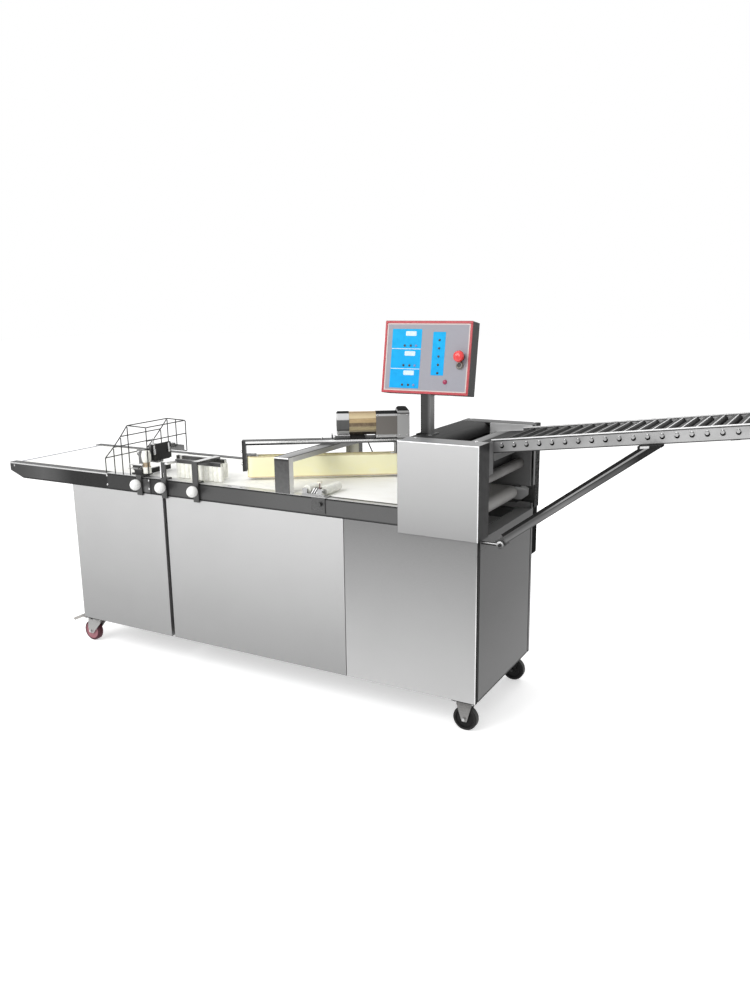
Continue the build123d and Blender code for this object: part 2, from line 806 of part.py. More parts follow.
# Small press rollers on the front rail
def press_roller(x, near, far):
    body = rod_y(x, press_height, press_radius, near, far)
    body = fillet(body.edges(), 3)
    return body - rod_y(x, press_height, press_axle + running_play, near - 1, far + 1)


def press_bracket():
    base = block(1324, 1446, -4, 38, rail_top, rail_top + 4)
    base -= block(1317, 1357, 15, 39, rail_top - 1, rail_top + 5)
    low = rail_top + 4
    cheek = prism_xz([(1325, low), (1431, low), (1431, low + 6), (1325, low + 6)], 8, 14)
    for x, near, far in press_places:
        lug = [(x - 11, low), (x + 11, low), (x + 11, 908), (x + 6, 912), (x - 6, 912), (x - 11, 908)]
        cheek += prism_xz(lug, 8, 14)
        cheek += rod_y(x, press_height, press_axle, 14, far + 8)
        cheek += rod_y(x, press_height, 9, far + 1, far + 8)
    for x in (1358, 1369, 1380):
        cheek += prism_xz([(x, low), (x + 5, low), (x + 25, 914), (x + 20, 914)], 16, 37)
    front = block(1376, 1440, -4, -1, 816, rail_top)
    bolt = rod_y(1417, 853, 9, -15, -4)
    screw = rod_z(1409, 11, 2.5, 912, 938) + rod_z(1409, 11, 11, 938, 945)
    return [base + cheek, front + bolt, screw]


# Castors
def wheel(x, y):
    half = wheel_width / 2
    profile = [
        (wheel_axle + running_play, -half), (14, -half), (16, 4 - half), (36, 4 - half), (38, -half), (46, -half),
        (wheel_radius, 4 - half), (wheel_radius, half - 4), (46, half), (38, half), (36, half - 4), (16, half - 4),
        (14, half), (wheel_axle + running_play, half),
    ]
    body = revolve(Plane.XZ * make_face(Polyline(*profile, close=True)), Axis.Z)
    return Pos(x, y, wheel_radius) * Rot(90, 0, 0) * body


def fork_cheeks(x, y, top, points):
    half = wheel_width / 2
    near = prism_xz(points, y - half - 5, y - half - 2)
    far = prism_xz(points, y + half + 2, y + half + 5)
    axle = rod_y(x, wheel_radius, wheel_axle, y - half - 9, y + half + 9)
    bridge_left = min(point[0] for point in points if point[1] == top)
    bridge_right = max(point[0] for point in points if point[1] == top)
    bridge = block(bridge_left, bridge_right, y - half - 5, y + half + 5, top, top + 4)
    return near + far + bridge + axle


def fixed_castor(y):
    x = fixed_place
    top = cabinet_bottom - 8
    low = wheel_radius - 12
    points = [(x - 33, top), (x + 30, top), (x + 30, top - 14), (x + 10, low), (x - 10, low), (x - 33, top - 14)]
    plate = block(x - 48, x + 48, y - 36, y + 36, cabinet_bottom - 4, cabinet_bottom)
    return fork_cheeks(x, y, top, points) + plate


def swivel_plate(y):
    plate = block(swivel_place - 48, swivel_place + 48, y - 36, y + 36, cabinet_bottom - 4, cabinet_bottom)
    return [plate, rod_z(swivel_place, y, 9, 106, cabinet_bottom - 4)]


def swivel_fork(y):
    x = swivel_place - trail
    top = 108
    low = wheel_radius - 12
    points = [(x - 14, top), (x + 68, top), (x + 68, top - 6), (x + 12, low), (x - 12, low), (x - 20, low + 30)]
    fork = fork_cheeks(x, y, top, points) + rod_z(swivel_place, y, 27, top, cabinet_bottom - 8)
    for side in (-1, 1):
        ear = block(x - 13, x + 1, y + side * 16 - 3, y + side * 16 + 3, top, 122)
        fork += ear - rod_y(x - 6, pedal_height, 3 + running_play, y - 30, y + 30)
    return fork - rod_z(swivel_place, y, 9 + running_play, 100, cabinet_bottom)


def brake_pedal(y):
    x = swivel_place - trail
    low, high = pedal_height - 2, pedal_height + 2
    arm = [(x - 22, low), (x - 56, low + 4), (x - 64, low - 6), (x - 106, low - 25), (x - 116, low - 17)]
    arm += [(x - 108, low - 10), (x - 62, low + 9), (x - 20, high)]
    tongue = block(x - 22, x + 4, y - 12, y + 12, low, high)
    return prism_xz(arm, y - 24, y + 24) + tongue + rod_y(x - 6, pedal_height, 3, y - 18, y + 18)


save("base_frame", *base_frame())
save("front_panels", *[front_pan(left, right) for left, right in panel_splits])
save("cabinet_panels", *cabinet_panels())
save("conveyor_frame", *conveyor_frame())
save("conveyor_belt", conveyor_belt())
save("nose_roller", belt_drum(nose_axis, nose_height(), nose_wrap, nose_shaft))
save("tail_drum", belt_drum(tail_axis, tail_height(), tail_wrap, tail_shaft))
save("head_front_housing", front_housing())
save("head_rear_housing", rear_housing())
save("head_frame", *head_frame())
sheeting = roller_with_gear(sheeting_axis, sheeting_radius, sheeting_shaft, sheeting_teeth, gear_line())
save("sheeting_roller", sheeting)
half_pitch = 180 / pinch_teeth
pinch = roller_with_gear(pinch_axis, pinch_radius, pinch_shaft, pinch_teeth, gear_line() + half_pitch)
save("pinch_roller", pinch)
save("control_post", control_post())
save("control_box", *control_box())
save("emergency_stop", emergency_stop())
save("infeed_frame", *infeed_frame(), *infeed_strut())
for number in range(infeed_count):
    save(f"infeed_roller_{number + 1:02d}", infeed_roller(number))
save("rolling_belt", rolling_belt())
save("rolling_drive_drum", rolling_drum(rolling_length, beam_high))
save("rolling_idler_drum", rolling_drum(rolling_left, idler_lug))
save("rolling_beam", *rolling_beam())
save("motor_body", motor_body())
save("rolling_gearbox", *rolling_gearbox())
save("motor_cable", motor_cable())
print("cable bend radii:", ", ".join(f"{radius:.1f}" for radius in cable_radii()))
save("gantry", gantry())
save("rail_clamps", *rail_clamps(), *press_bracket())
for name, place in zip(("left", "middle", "right"), clamp_places):
    save(f"clamp_knob_{name}", clamp_knob(place))
save("nylon_guides", *nylon_guides(), barrel_roller())
save("cutter_stand", *cutter_stand())
save("cutter_blade", cutter_blade())
save("guard_cage", *guard_cage())
for name, place in zip(("left", "right"), press_places):
    save(f"press_roller_{name}", press_roller(*place))
save("castor_mounts", *[fixed_castor(y) for y in (castor_front, castor_rear)],
     *[piece for y in (castor_front, castor_rear) for piece in swivel_plate(y)])
for name, y in (("front", castor_front), ("rear", castor_rear)):
    save(f"{name}_swivel_fork", swivel_fork(y))
    save(f"{name}_left_wheel", wheel(swivel_place - trail, y))
    save(f"{name}_right_wheel", wheel(fixed_place, y))
save("front_brake_pedal", brake_pedal(castor_front))
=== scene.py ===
import math

import bmesh
import bpy
from mathutils import Matrix, Vector


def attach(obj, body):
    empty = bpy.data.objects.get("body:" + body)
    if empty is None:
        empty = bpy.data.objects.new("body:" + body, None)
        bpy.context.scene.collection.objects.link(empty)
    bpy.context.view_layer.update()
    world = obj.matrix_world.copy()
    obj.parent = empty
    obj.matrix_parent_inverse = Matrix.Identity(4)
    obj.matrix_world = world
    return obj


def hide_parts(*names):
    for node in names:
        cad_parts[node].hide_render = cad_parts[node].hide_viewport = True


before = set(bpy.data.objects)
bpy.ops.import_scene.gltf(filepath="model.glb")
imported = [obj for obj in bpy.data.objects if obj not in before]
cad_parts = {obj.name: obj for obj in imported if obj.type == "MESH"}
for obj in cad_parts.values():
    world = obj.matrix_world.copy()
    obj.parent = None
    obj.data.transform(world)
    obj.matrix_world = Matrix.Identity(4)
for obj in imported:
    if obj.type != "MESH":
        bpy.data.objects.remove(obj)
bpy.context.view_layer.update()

scene = bpy.context.scene

# The machine's own coordinates are in millimetres: X from the cabinet's left edge, Y from its front,
# Z from the floor. The row's frame is in metres, with its origin in the middle of the footprint.
MM = 0.001
ORIGIN = {"X": 1280.5928, "Y": 300.0, "Z": 0.0}

# In-feed: slope, first axle (X, Z) and distance between axles
INCLINE = math.radians(7.2)
FIRST_AXLE = (2133, 1124)
AXLE_PITCH = 48.2
AXLE_COUNT = 18

# Strut under the in-feed: its low end (X, Z) and its lean
STRUT_LOW = (2176, 787)
STRUT_LEAN = math.atan2(348, 470)

# Slanted rolling unit: start (X, Y) and angle in plan
ROLLING_START = (915, 173)
ROLLING_TURN = math.radians(32.8)

# Castors: wheel radius, and X of the axles and of the mounting plates
WHEEL_RADIUS = 50
AXLE_LEFT = 15
AXLE_RIGHT = 2045
PLATE_LEFT = 50

# Middle of the control face and its tilt
FACE_PLACE = (1803, 178, 1435)
FACE_TILT = math.radians(9.5)

# Tint of metal seen at a flat angle, which keeps dark sheet dark
EDGE_TINT = (0.25, 0.25, 0.25, 1.0)
# Colour sockets of the mix node
MIX_FIRST = 6
MIX_SECOND = 7
MIX_RESULT = 2


def row(letter, place):
    """One machine coordinate in the row's frame."""
    return (place - ORIGIN[letter]) * MM


def at(x, y, z):
    """Machine coordinates as a point of the row's frame."""
    return Vector((row("X", x), row("Y", y), row("Z", z)))


def linear(red, green, blue):
    """Colour as seen on a screen, 0 to 255, turned into linear light."""
    values = []
    for channel in (red, green, blue):
        share = channel / 255
        values.append(share / 12.92 if share <= 0.04045 else ((share + 0.055) / 1.055) ** 2.4)
    return (*values, 1.0)


def grey(level, warm=0):
    return linear(level + warm, level, level - warm)


def shade(tone):
    """A plain number is a grey level; a tuple is a colour already."""
    return grey(tone) if isinstance(tone, (int, float)) else tone


# Node trees
class Graph:
    """Short ways to add and join nodes in one node tree."""

    def __init__(self, tree):
        self.tree = tree

    def add(self, kind, **settings):
        node = self.tree.nodes.new(kind)
        for key, value in settings.items():
            setattr(node, key, value)
        return node

    def join(self, start, end):
        self.tree.links.new(start, end)

    def feed(self, socket, value):
        """Set a socket to a constant, or join it to another node."""
        if isinstance(value, (int, float, tuple)):
            socket.default_value = value
        else:
            self.join(value, socket)

    def math(self, operation, first, second=0.0):
        node = self.add("ShaderNodeMath", operation=operation)
        for socket, value in zip(node.inputs, (first, second)):
            self.feed(socket, value)
        return node.outputs["Value"]

    def span(self, value, low, high, out_low=0.0, out_high=1.0):
        """Map a value from one range to another, held at both ends."""
        node = self.add("ShaderNodeMapRange")
        for key, end in (("From Min", low), ("From Max", high), ("To Min", out_low), ("To Max", out_high)):
            self.feed(node.inputs[key], end)
        self.join(value, node.inputs["Value"])
        return node.outputs["Result"]

    def axis(self, letter, space="Object"):
        place = self.add("ShaderNodeTexCoord")
        split = self.add("ShaderNodeSeparateXYZ")
        self.join(place.outputs[space], split.inputs["Vector"])
        return split.outputs[letter]

    def seen(self):
        """1 for what the camera or a mirror image sees, 0 for light on other things."""
        rays = self.add("ShaderNodeLightPath")
        return self.math("MAXIMUM", rays.outputs["Is Camera Ray"], rays.outputs["Is Glossy Ray"])


class Nodes(Graph):
    """One material, with its colours and masks placed in machine coordinates."""

    def __init__(self, name):
        self.name = name
        self.material = bpy.data.materials.new(name)
        self.material.use_nodes = True
        super().__init__(self.material.node_tree)
        self.shader = self.tree.nodes["Principled BSDF"]

    def coords(self, scale=(1, 1, 1)):
        place = self.add("ShaderNodeTexCoord")
        mapping = self.add("ShaderNodeMapping")
        mapping.inputs["Scale"].default_value = scale
        self.join(place.outputs["Object"], mapping.inputs["Vector"])
        return mapping.outputs["Vector"]

    def noise(self, scale, stretch=(1, 1, 1), detail=4, rough=0.55):
        node = self.add("ShaderNodeTexNoise")
        node.inputs["Scale"].default_value = scale
        node.inputs["Detail"].default_value = detail
        node.inputs["Roughness"].default_value = rough
        self.join(self.coords(stretch), node.inputs["Vector"])
        return node.outputs["Fac"]

    def ramp(self, value, stops):
        """Tones along a value, as (place, tone) stops."""
        node = self.add("ShaderNodeValToRGB")
        elements = node.color_ramp.elements
        while len(elements) < len(stops):
            elements.new(0.5)
        for element, (place, tone) in zip(elements, stops):
            element.position = place
            element.color = shade(tone)
        self.join(value, node.inputs["Fac"])
        return node.outputs["Color"]

    def mix(self, factor, first, second, kind="MIX"):
        node = self.add("ShaderNodeMix", data_type="RGBA", blend_type=kind)
        self.feed(node.inputs["Factor"], factor)
        self.feed(node.inputs[MIX_FIRST], shade(first))
        self.feed(node.inputs[MIX_SECOND], shade(second))
        return node.outputs[MIX_RESULT]

    def along(self, letter, low, high, out_low=0.0, out_high=1.0):
        """Share of the way between two machine coordinates."""
        return self.span(self.axis(letter), row(letter, low), row(letter, high), out_low, out_high)

    def above(self, value, limit):
        return self.math("GREATER_THAN", value, limit)

    def below(self, value, limit):
        return self.math("LESS_THAN", value, limit)

    def over(self, letter, place):
        """Mask of what lies beyond a machine coordinate."""
        return self.above(self.axis(letter), row(letter, place))

    def under(self, letter, place):
        return self.below(self.axis(letter), row(letter, place))

    def between(self, letter, low, high):
        return self.both(self.over(letter, low), self.under(letter, high))

    def both(self, *masks):
        total = masks[0]
        for mask in masks[1:]:
            total = self.math("MULTIPLY", total, mask)
        return total

    def bump(self, height, strength, distance):
        node = self.add("ShaderNodeBump")
        node.inputs["Strength"].default_value = strength
        node.inputs["Distance"].default_value = distance
        self.join(height, node.inputs["Height"])
        self.join(node.outputs["Normal"], self.shader.inputs["Normal"])

    def colour(self, socket):
        self.join(socket, self.shader.inputs["Base Color"])

    def rough(self, socket):
        self.join(socket, self.shader.inputs["Roughness"])

    def metallic(self, mask, outside, inside):
        self.join(self.span(mask, 0.0, 1.0, outside, inside), self.shader.inputs["Metallic"])

    def base(self):
        """The colour that is joined to the shader already."""
        return self.shader.inputs["Base Color"].links[0].from_socket

    def surface(self, noise, rough, bump, low=0.3, high=0.7):
        """Uneven gloss and height from one noise."""
        self.rough(self.span(noise, low, high, *rough))
        self.bump(noise, *bump)

    def brushed(self, base, streak, share, tone, rough, bump=(0.04, 0.001)):
        """Sheet metal: fine grain in the colour, the roughness and the bump."""
        self.colour(self.mix(self.span(streak, 0.3, 0.7, 0.0, share), base, tone))
        self.surface(streak, rough, bump, 0.25, 0.75)

    def steps(self, letters, start):
        """Distances from a machine place along two axes, in metres."""
        return [self.math("SUBTRACT", self.axis(letter), row(letter, place))
                for letter, place in zip(letters, start)]

    def distance(self, letters, centre):
        """Distance from a line along the third axis."""
        squares = [self.math("MULTIPLY", step, step) for step in self.steps(letters, centre)]
        return self.math("SQRT", self.math("ADD", *squares))

    def slant(self, letters, start, angle):
        """Distances along and square to a line that leaves start at an angle."""
        first, second = self.steps(letters, start)
        cosine = math.cos(angle)
        sine = math.sin(angle)
        along = self.math("ADD", self.math("MULTIPLY", first, cosine), self.math("MULTIPLY", second, sine))
        across = self.math(
            "SUBTRACT", self.math("MULTIPLY", second, cosine), self.math("MULTIPLY", first, sine))
        return along, across

    def set(self, **values):
        for key, value in values.items():
            self.shader.inputs[key.replace("_", " ")].default_value = value


# Materials
def plastic(name, colour, rough, fleck, scale, coat=0.0):
    """Plastic or paint with a faint cloud in its tone and gloss."""
    n = Nodes(name)
    cloud = n.noise(scale)
    darker = tuple(channel * 0.82 for channel in colour[:3]) + (1.0,)
    n.colour(n.mix(n.span(cloud, 0.3, 0.75), colour, darker))
    n.surface(cloud, (rough - fleck, rough + fleck), (0.04, 0.0006))
    n.set(Metallic=0.0, Coat_Weight=coat)
    return n


def metal(name, level, rough, warm, streaks, metallic, contrast=0.25):
    """Plain metal with a fine grain and soft clouds."""
    n = Nodes(name)
    streak = n.noise(70, streaks)
    cloud = n.noise(9, detail=3)
    base = n.mix(n.span(streak, 0.3, 0.7, 0.0, contrast), grey(level, warm), grey(min(250, level + 30), warm))
    base = n.mix(n.span(cloud, 0.4, 0.75, 0.0, 0.35), base, grey(level * 0.8, warm))
    n.colour(base)
    n.rough(n.span(cloud, 0.3, 0.7, rough - 0.06, rough + 0.08))
    n.set(Metallic=metallic)
    n.bump(streak, 0.04, 0.0008)
    return n


def front_panel_steel():
    """Front panels: painted shade and reflection make the grey fall towards the floor on two panels and rise
    towards it on the right one; the right corner has a painted highlight on its fold and painted shade on its
    return.
    """
    n = Nodes("front_panel_steel")
    # Painted reflection: the grey changes with height
    rise = n.along("Z", 130, 800)
    left = n.ramp(rise, ((0, 150), (0.25, 157), (1, 188)))
    right = n.ramp(rise, ((0, 184), (1, 114)))
    base = n.mix(n.over("X", 1522.5), left, right)
    streak = n.noise(60, (1, 1, 45))
    cloud = n.noise(2.0, detail=3)
    base = n.mix(n.span(streak, 0.3, 0.7, 0.0, 0.10), base, 206)
    base = n.mix(n.span(cloud, 0.4, 0.75, 0.0, 0.10), base, 130)
    # Painted highlight down the fold at the right corner
    fold = n.both(n.over("X", 2096), n.along("Z", 720, 450, 0.0, 0.85))
    base = n.mix(fold, base, 236)
    # Right return: a black line at the joint, and painted shade over the rest of the return
    joint_and_return_shade = n.both(n.over("X", 2099), n.over("Y", 0.6))
    base = n.mix(joint_and_return_shade, base, n.mix(n.over("Y", 13), 14, 80))
    n.colour(base)
    n.surface(streak, (0.34, 0.46), (0.04, 0.001), 0.25, 0.75)
    n.set(Metallic=0.75, Specular_IOR_Level=0.2, Specular_Tint=EDGE_TINT)
    return n


def belt_weave(name, scale):
    """Coated belt: a fine crossed weave under a smooth surface, with a noise for its flour marks."""
    n = Nodes(name)
    wave_x = n.add("ShaderNodeTexWave", wave_type="BANDS", bands_direction="X")
    wave_y = n.add("ShaderNodeTexWave", wave_type="BANDS", bands_direction="Y")
    for wave in (wave_x, wave_y):
        wave.inputs["Scale"].default_value = scale
        n.join(n.coords(), wave.inputs["Vector"])
    weave = n.math("MULTIPLY", wave_x.outputs["Fac"], wave_y.outputs["Fac"])
    marks = n.noise(5, (1, 2.5, 1), 5, 0.6)
    n.rough(n.span(marks, 0.3, 0.8, 0.5, 0.68))
    n.set(Metallic=0.0)
    n.bump(weave, 0.08, 0.0005)
    return n, marks


def white_belt():
    """Conveyor belt: white, with painted shade round the nose and painted shade greying it where it turns
    inside the head.
    """
    n, marks = belt_weave("white_belt", 320)
    base = n.mix(n.span(marks, 0.45, 0.8, 0.0, 0.7), linear(252, 252, 249), linear(240, 239, 233))
    # Painted shade where the belt turns inside the head
    base = n.mix(n.along("X", 1800, 2040, 0.0, 0.8), base, grey(118, 2))
    # Painted shade round the nose
    n.colour(n.mix(n.along("X", -386, -396), base, linear(96, 98, 118)))
    return n


def rolling_belt_weave():
    """Rolling belt: pale yellow, darker along its lower and upper edges, smeared with flour."""
    n = belt_weave("yellow_belt", 300)[0]
    rise = n.along("Z", 889, 985)
    edge = n.ramp(rise, (
        (0, linear(176, 140, 96)), (0.03, linear(214, 184, 132)), (0.06, linear(255, 250, 204)),
        (0.93, linear(255, 252, 212)), (0.985, linear(206, 190, 150))))
    smear = n.noise(14, (1, 1, 2))
    n.colour(n.mix(n.span(smear, 0.5, 0.8, 0.0, 0.5), edge, linear(255, 253, 236)))
    return n


def gold_body():
    """Motor body: anodised, in painted bands of light and shade: lighter above, darker under its middle, with
    a painted dark shadow along the bottom.
    """
    n = Nodes("gold_aluminium")
    streak = n.noise(80)
    rise = n.along("Z", 1071, 1171)
    # Painted light and shade in bands down the body
    base = n.ramp(rise, (
        (0, linear(70, 66, 64)), (0.13, linear(76, 70, 66)), (0.17, linear(216, 204, 176)),
        (0.25, linear(196, 182, 148)), (0.39, linear(148, 134, 106)), (0.42, linear(104, 90, 74)),
        (0.55, linear(112, 96, 76)), (0.58, linear(182, 158, 118)), (0.73, linear(184, 160, 122)),
        (0.76, linear(216, 198, 160)), (0.84, linear(210, 192, 154)), (0.96, linear(184, 164, 132))))
    n.colour(n.mix(n.span(streak, 0.4, 0.7, 0.0, 0.15), base, linear(236, 214, 166)))
    n.surface(streak, (0.36, 0.5), (0.05, 0.0006))
    n.set(Metallic=0.45)
    return n


def control_paint():
    """Case of the control box: dark textured paint."""
    n = plastic("case_paint", grey(62), 0.45, 0.06, 240)
    n.set(Specular_IOR_Level=0.15)
    return n


def right_end_steel():
    """Rear and end panels: painted shade darkens the end under the in-feed, most towards its top, and the
    rear panel is painted lighter upward.
    """
    n = Nodes("end_panel_steel")
    rise = n.along("Z", 130, 780)
    # Painted shade on the end and painted reflection on the rear, both changing with height
    end = n.ramp(rise, ((0, 110), (0.55, 80), (1, 62)))
    back = n.ramp(rise, ((0, 150), (1, 180)))
    streak = n.noise(60, (1, 1, 45))
    right = n.over("X", 2090)
    base = n.mix(right, back, end)
    # Near-black strips along the end's front edge and its foot
    base = n.mix(n.both(right, n.under("Y", 7)), base, 16)
    base = n.mix(n.both(right, n.under("Z", 137)), base, 30)
    n.brushed(base, streak, 0.06, 190, (0.38, 0.5))
    n.set(Metallic=0.55, Specular_IOR_Level=0.2)
    return n


def front_housing_steel():
    """Front housing of the head: face painted lighter upward, painted highlights on its folded edges, a
    darker top strip, and painted shade on the right side.
    """
    n = Nodes("front_housing_steel")
    rise = n.along("Z", 780, 1139)
    face = n.ramp(rise, ((0, 148), (0.35, 166), (1, 190)))
    base = n.mix(n.over("Z", 1137.5), face, 176)
    # Painted shade on the right side
    side = n.over("X", 2103.2)
    base = n.mix(side, base, 86)
    # Painted highlights along the folded top and right edges of the face
    front = n.under("Y", -9.2)
    top_fold_highlight = n.both(front, n.over("Z", 1136.2))
    side_fold_highlight = n.both(front, n.over("X", 2102.2))
    base = n.mix(n.math("MAXIMUM", top_fold_highlight, side_fold_highlight), base, 244)
    streak = n.noise(60, (40, 1, 1))
    n.brushed(base, streak, 0.05, 206, (0.36, 0.48))
    n.metallic(side, 0.6, 1.0)
    n.set(Specular_IOR_Level=0.12, Specular_Tint=EDGE_TINT)
    return n


def rear_housing_steel():
    """Rear housing of the head, with painted shade on its right side and a black chain guard below it."""
    n = Nodes("rear_housing_steel")
    rise = n.along("Z", 780, 1139)
    streak = n.noise(60, (40, 1, 1))
    base = n.ramp(rise, ((0, 136), (1, 146)))
    base = n.mix(n.over("Z", 1137.5), base, 140)
    base = n.mix(n.over("Y", 661), base, 150)
    # Painted shade on its right side
    base = n.mix(n.both(n.over("X", 2092), n.over("Y", 606)), base, 74)
    base = n.mix(n.under("Z", 779.5), base, 20)
    n.brushed(base, streak, 0.05, 190, (0.36, 0.5))
    n.set(Metallic=0.9, Specular_IOR_Level=0.1, Specular_Tint=EDGE_TINT)
    return n


def head_steel():
    """Inside of the head, in painted light and shade: a dark hood and plates, the hood darkest towards its
    nose, a far wall painted light, walls painted darker towards the left, a banded apron with a painted black
    shadow line at its left edge and a painted light band beside it, and a tray with a grey lip.
    """
    n = Nodes("head_steel")
    streak = n.noise(60, (1, 30, 1))
    far_wall = n.both(n.over("Y", 565.5), n.over("Z", 1090), n.over("X", 1900))
    hood = n.both(n.under("X", 1911), n.over("Z", 960))
    # Painted shade: the hood darkens towards its nose
    hood_tone = n.ramp(n.along("X", 1776, 1912), (
        (0, 50), (0.58, 45), (0.70, 38), (0.80, 28), (1, 26)))
    apron = n.both(n.between("X", 1940, 2092), n.over("Z", 1096), n.under("Y", 565.5))
    # Painted black shadow line at the apron's left edge, then a painted light band
    apron_tone = n.ramp(n.along("X", 1941, 2090), (
        (0, 10), (0.03, 12), (0.05, 170), (0.4, 130), (0.42, 34), (1, 44)))
    lip = n.both(n.over("X", 2100.5), n.under("Z", 790))
    # Painted shade darkens the walls towards the left, and the far wall is painted light
    wall_tone = n.ramp(n.along("X", 1900, 2100), ((0, 62), (0.5, 102), (1, 122)))
    base = n.mix(far_wall, wall_tone, 228)
    base = n.mix(hood, base, hood_tone)
    base = n.mix(apron, base, apron_tone)
    base = n.mix(lip, base, 116)
    n.brushed(base, streak, 0.06, 120, (0.45, 0.6))
    n.set(Metallic=0.0, Specular_IOR_Level=0.04)
    return n


def rail_steel():
    """Conveyor rails: top flange painted bright, painted shade lines along the folds above and below a grey
    face, and painted reflections along the face.

    The nose has a painted highlight on its top fold under a dark flange, painted shade darkens the flange
    beside the belt past X 1425, and inside the head the rail is painted light.
    """
    n = Nodes("rail_steel")
    streak = n.noise(60, (1, 1, 30))
    nose = n.under("X", 235)
    # Painted reflections darken and lighten the face along its length
    nose_face = n.ramp(n.along("X", -434, 235), (
        (0, 52), (0.16, 63), (0.35, 79), (0.47, 68), (0.575, 45), (0.65, 19), (0.74, 13), (1, 18)))
    main_face = n.ramp(n.along("X", 235, 2080), (
        (0, 48), (0.154, 50), (0.25, 74), (0.415, 76), (0.52, 84), (0.77, 87)))
    face = n.mix(nose, main_face, nose_face)
    # Inside the head the rail is painted light
    inside = n.both(n.over("X", 1776), n.over("Y", 300))
    face = n.mix(inside, face, 190)
    plate = n.ramp(n.along("X", 459, 503), ((0, 124), (0.9, 86), (0.93, 18), (1, 18)))
    face = n.mix(n.between("X", 459, 503), face, plate)
    rise = n.along("Z", 804, 880)
    # Painted shade lines along the folds at the top and bottom of the face, with a painted highlight at its
    # lower edge
    fold = n.ramp(rise, ((0, 190), (0.04, 40), (0.12, 255), (0.88, 255), (0.93, 90), (0.985, 60)))
    base = n.mix(1.0, face, fold, "MULTIPLY")
    # Painted highlight on the nose's top fold
    base = n.mix(n.both(nose, n.above(rise, 0.90)), base, 200)
    # Top flange painted bright
    flange = n.over("Z", 879.1)
    base = n.mix(flange, base, 214)
    # The flange is dark on the nose, and painted shade darkens it beside the belt past X 1425
    belt_edge_shade = n.both(n.over("X", 1425), n.over("Y", 22))
    base = n.mix(n.both(flange, n.math("MAXIMUM", nose, belt_edge_shade)), base, 50)
    far = n.ramp(n.along("X", 250, 600), ((0, 44), (1, 92)))
    base = n.mix(n.both(flange, n.over("Y", 560)), base, far)
    n.brushed(base, streak, 0.08, 150, (0.32, 0.46))
    n.metallic(inside, 0.7, 0.0)
    return n


def infeed_plate_steel():
    """Side plates of the in-feed with a painted highlight on the hem and painted shade below it and along the
    lower edge, a darker strut in painted light and shade, and an eye bolt with painted highlights.
    """
    n = Nodes("infeed_plate_steel")
    streak = n.noise(60, (30, 1, 1))
    patches = n.noise(7, detail=2)
    across = n.slant("XZ", FIRST_AXLE, INCLINE)[1]
    rise = n.span(across, -0.0288, 0.0228)
    # Painted highlight along the hem, a painted shade line under it and painted shade along the lower edge
    hem = n.ramp(rise, (
        (0, 60), (0.05, 110), (0.09, 255), (0.83, 255), (0.85, 88), (0.90, 88), (0.92, 255)))
    level = n.ramp(n.along("X", 2100, 2560), ((0, 116), (0.14, 150), (1, 182)))
    level = n.mix(n.span(patches, 0.42, 0.62, 0.0, 0.5), level, 134)
    plate = n.mix(1.0, n.mix(n.above(rise, 0.91), level, 250), hem, "MULTIPLY")
    low = n.below(across, -0.0292)
    offset = n.slant("XZ", STRUT_LOW, STRUT_LEAN)[1]
    # Strut: painted shade darkens it towards its upper end and along its edges, with a painted light strip
    # and dark lines along its top
    bar = n.ramp(n.along("X", 2176, 2640), (
        (0, 106), (0.32, 108), (0.48, 120), (0.6, 110), (0.75, 87), (0.9, 80), (1, 36)))
    edges = n.ramp(n.span(offset, -0.019, 0.019), (
        (0, 190), (0.08, 190), (0.12, 255), (0.22, 255), (0.5, 190)))
    bar = n.mix(1.0, bar, edges, "MULTIPLY")
    upper = n.along("X", 2316, 2400)
    line = n.both(upper, n.above(offset, -0.0010), n.below(offset, 0.0016))
    bar = n.mix(line, bar, 36)
    bar = n.mix(n.both(upper, n.above(offset, 0.0016)), bar, 144)
    bar = n.mix(n.above(offset, 0.0074), bar, 18)
    # Strut bracket: dark, with a painted highlight band
    bracket = n.both(n.over("X", 2580), n.above(across, -0.0374))
    light = n.between("X", 2642, 2672)
    bar = n.mix(bracket, bar, n.mix(light, 30, 200))
    base = n.mix(low, plate, bar)
    # Eye bolt: painted highlights on its rod and ring
    bolt = n.both(n.under("X", 2192), n.under("Z", 786.5), n.under("Y", 40.6))
    rod = n.ramp(n.along("Z", 766, 778), ((0, 30), (0.5, 62), (0.75, 190), (0.9, 90)))
    base = n.mix(bolt, base, rod)
    ring = n.ramp(n.along("Z", 758, 786), ((0, 60), (0.4, 110), (0.7, 170), (1, 236)))
    base = n.mix(n.both(bolt, n.over("X", 2161.5)), base, ring)
    base = n.mix(n.both(bolt, n.under("Y", 27.9)), base, 44)
    n.brushed(base, streak, 0.05, 170, (0.36, 0.5))
    n.metallic(low, 0.3, 1.0)
    n.set(Specular_IOR_Level=0.12, Specular_Tint=EDGE_TINT)
    return n


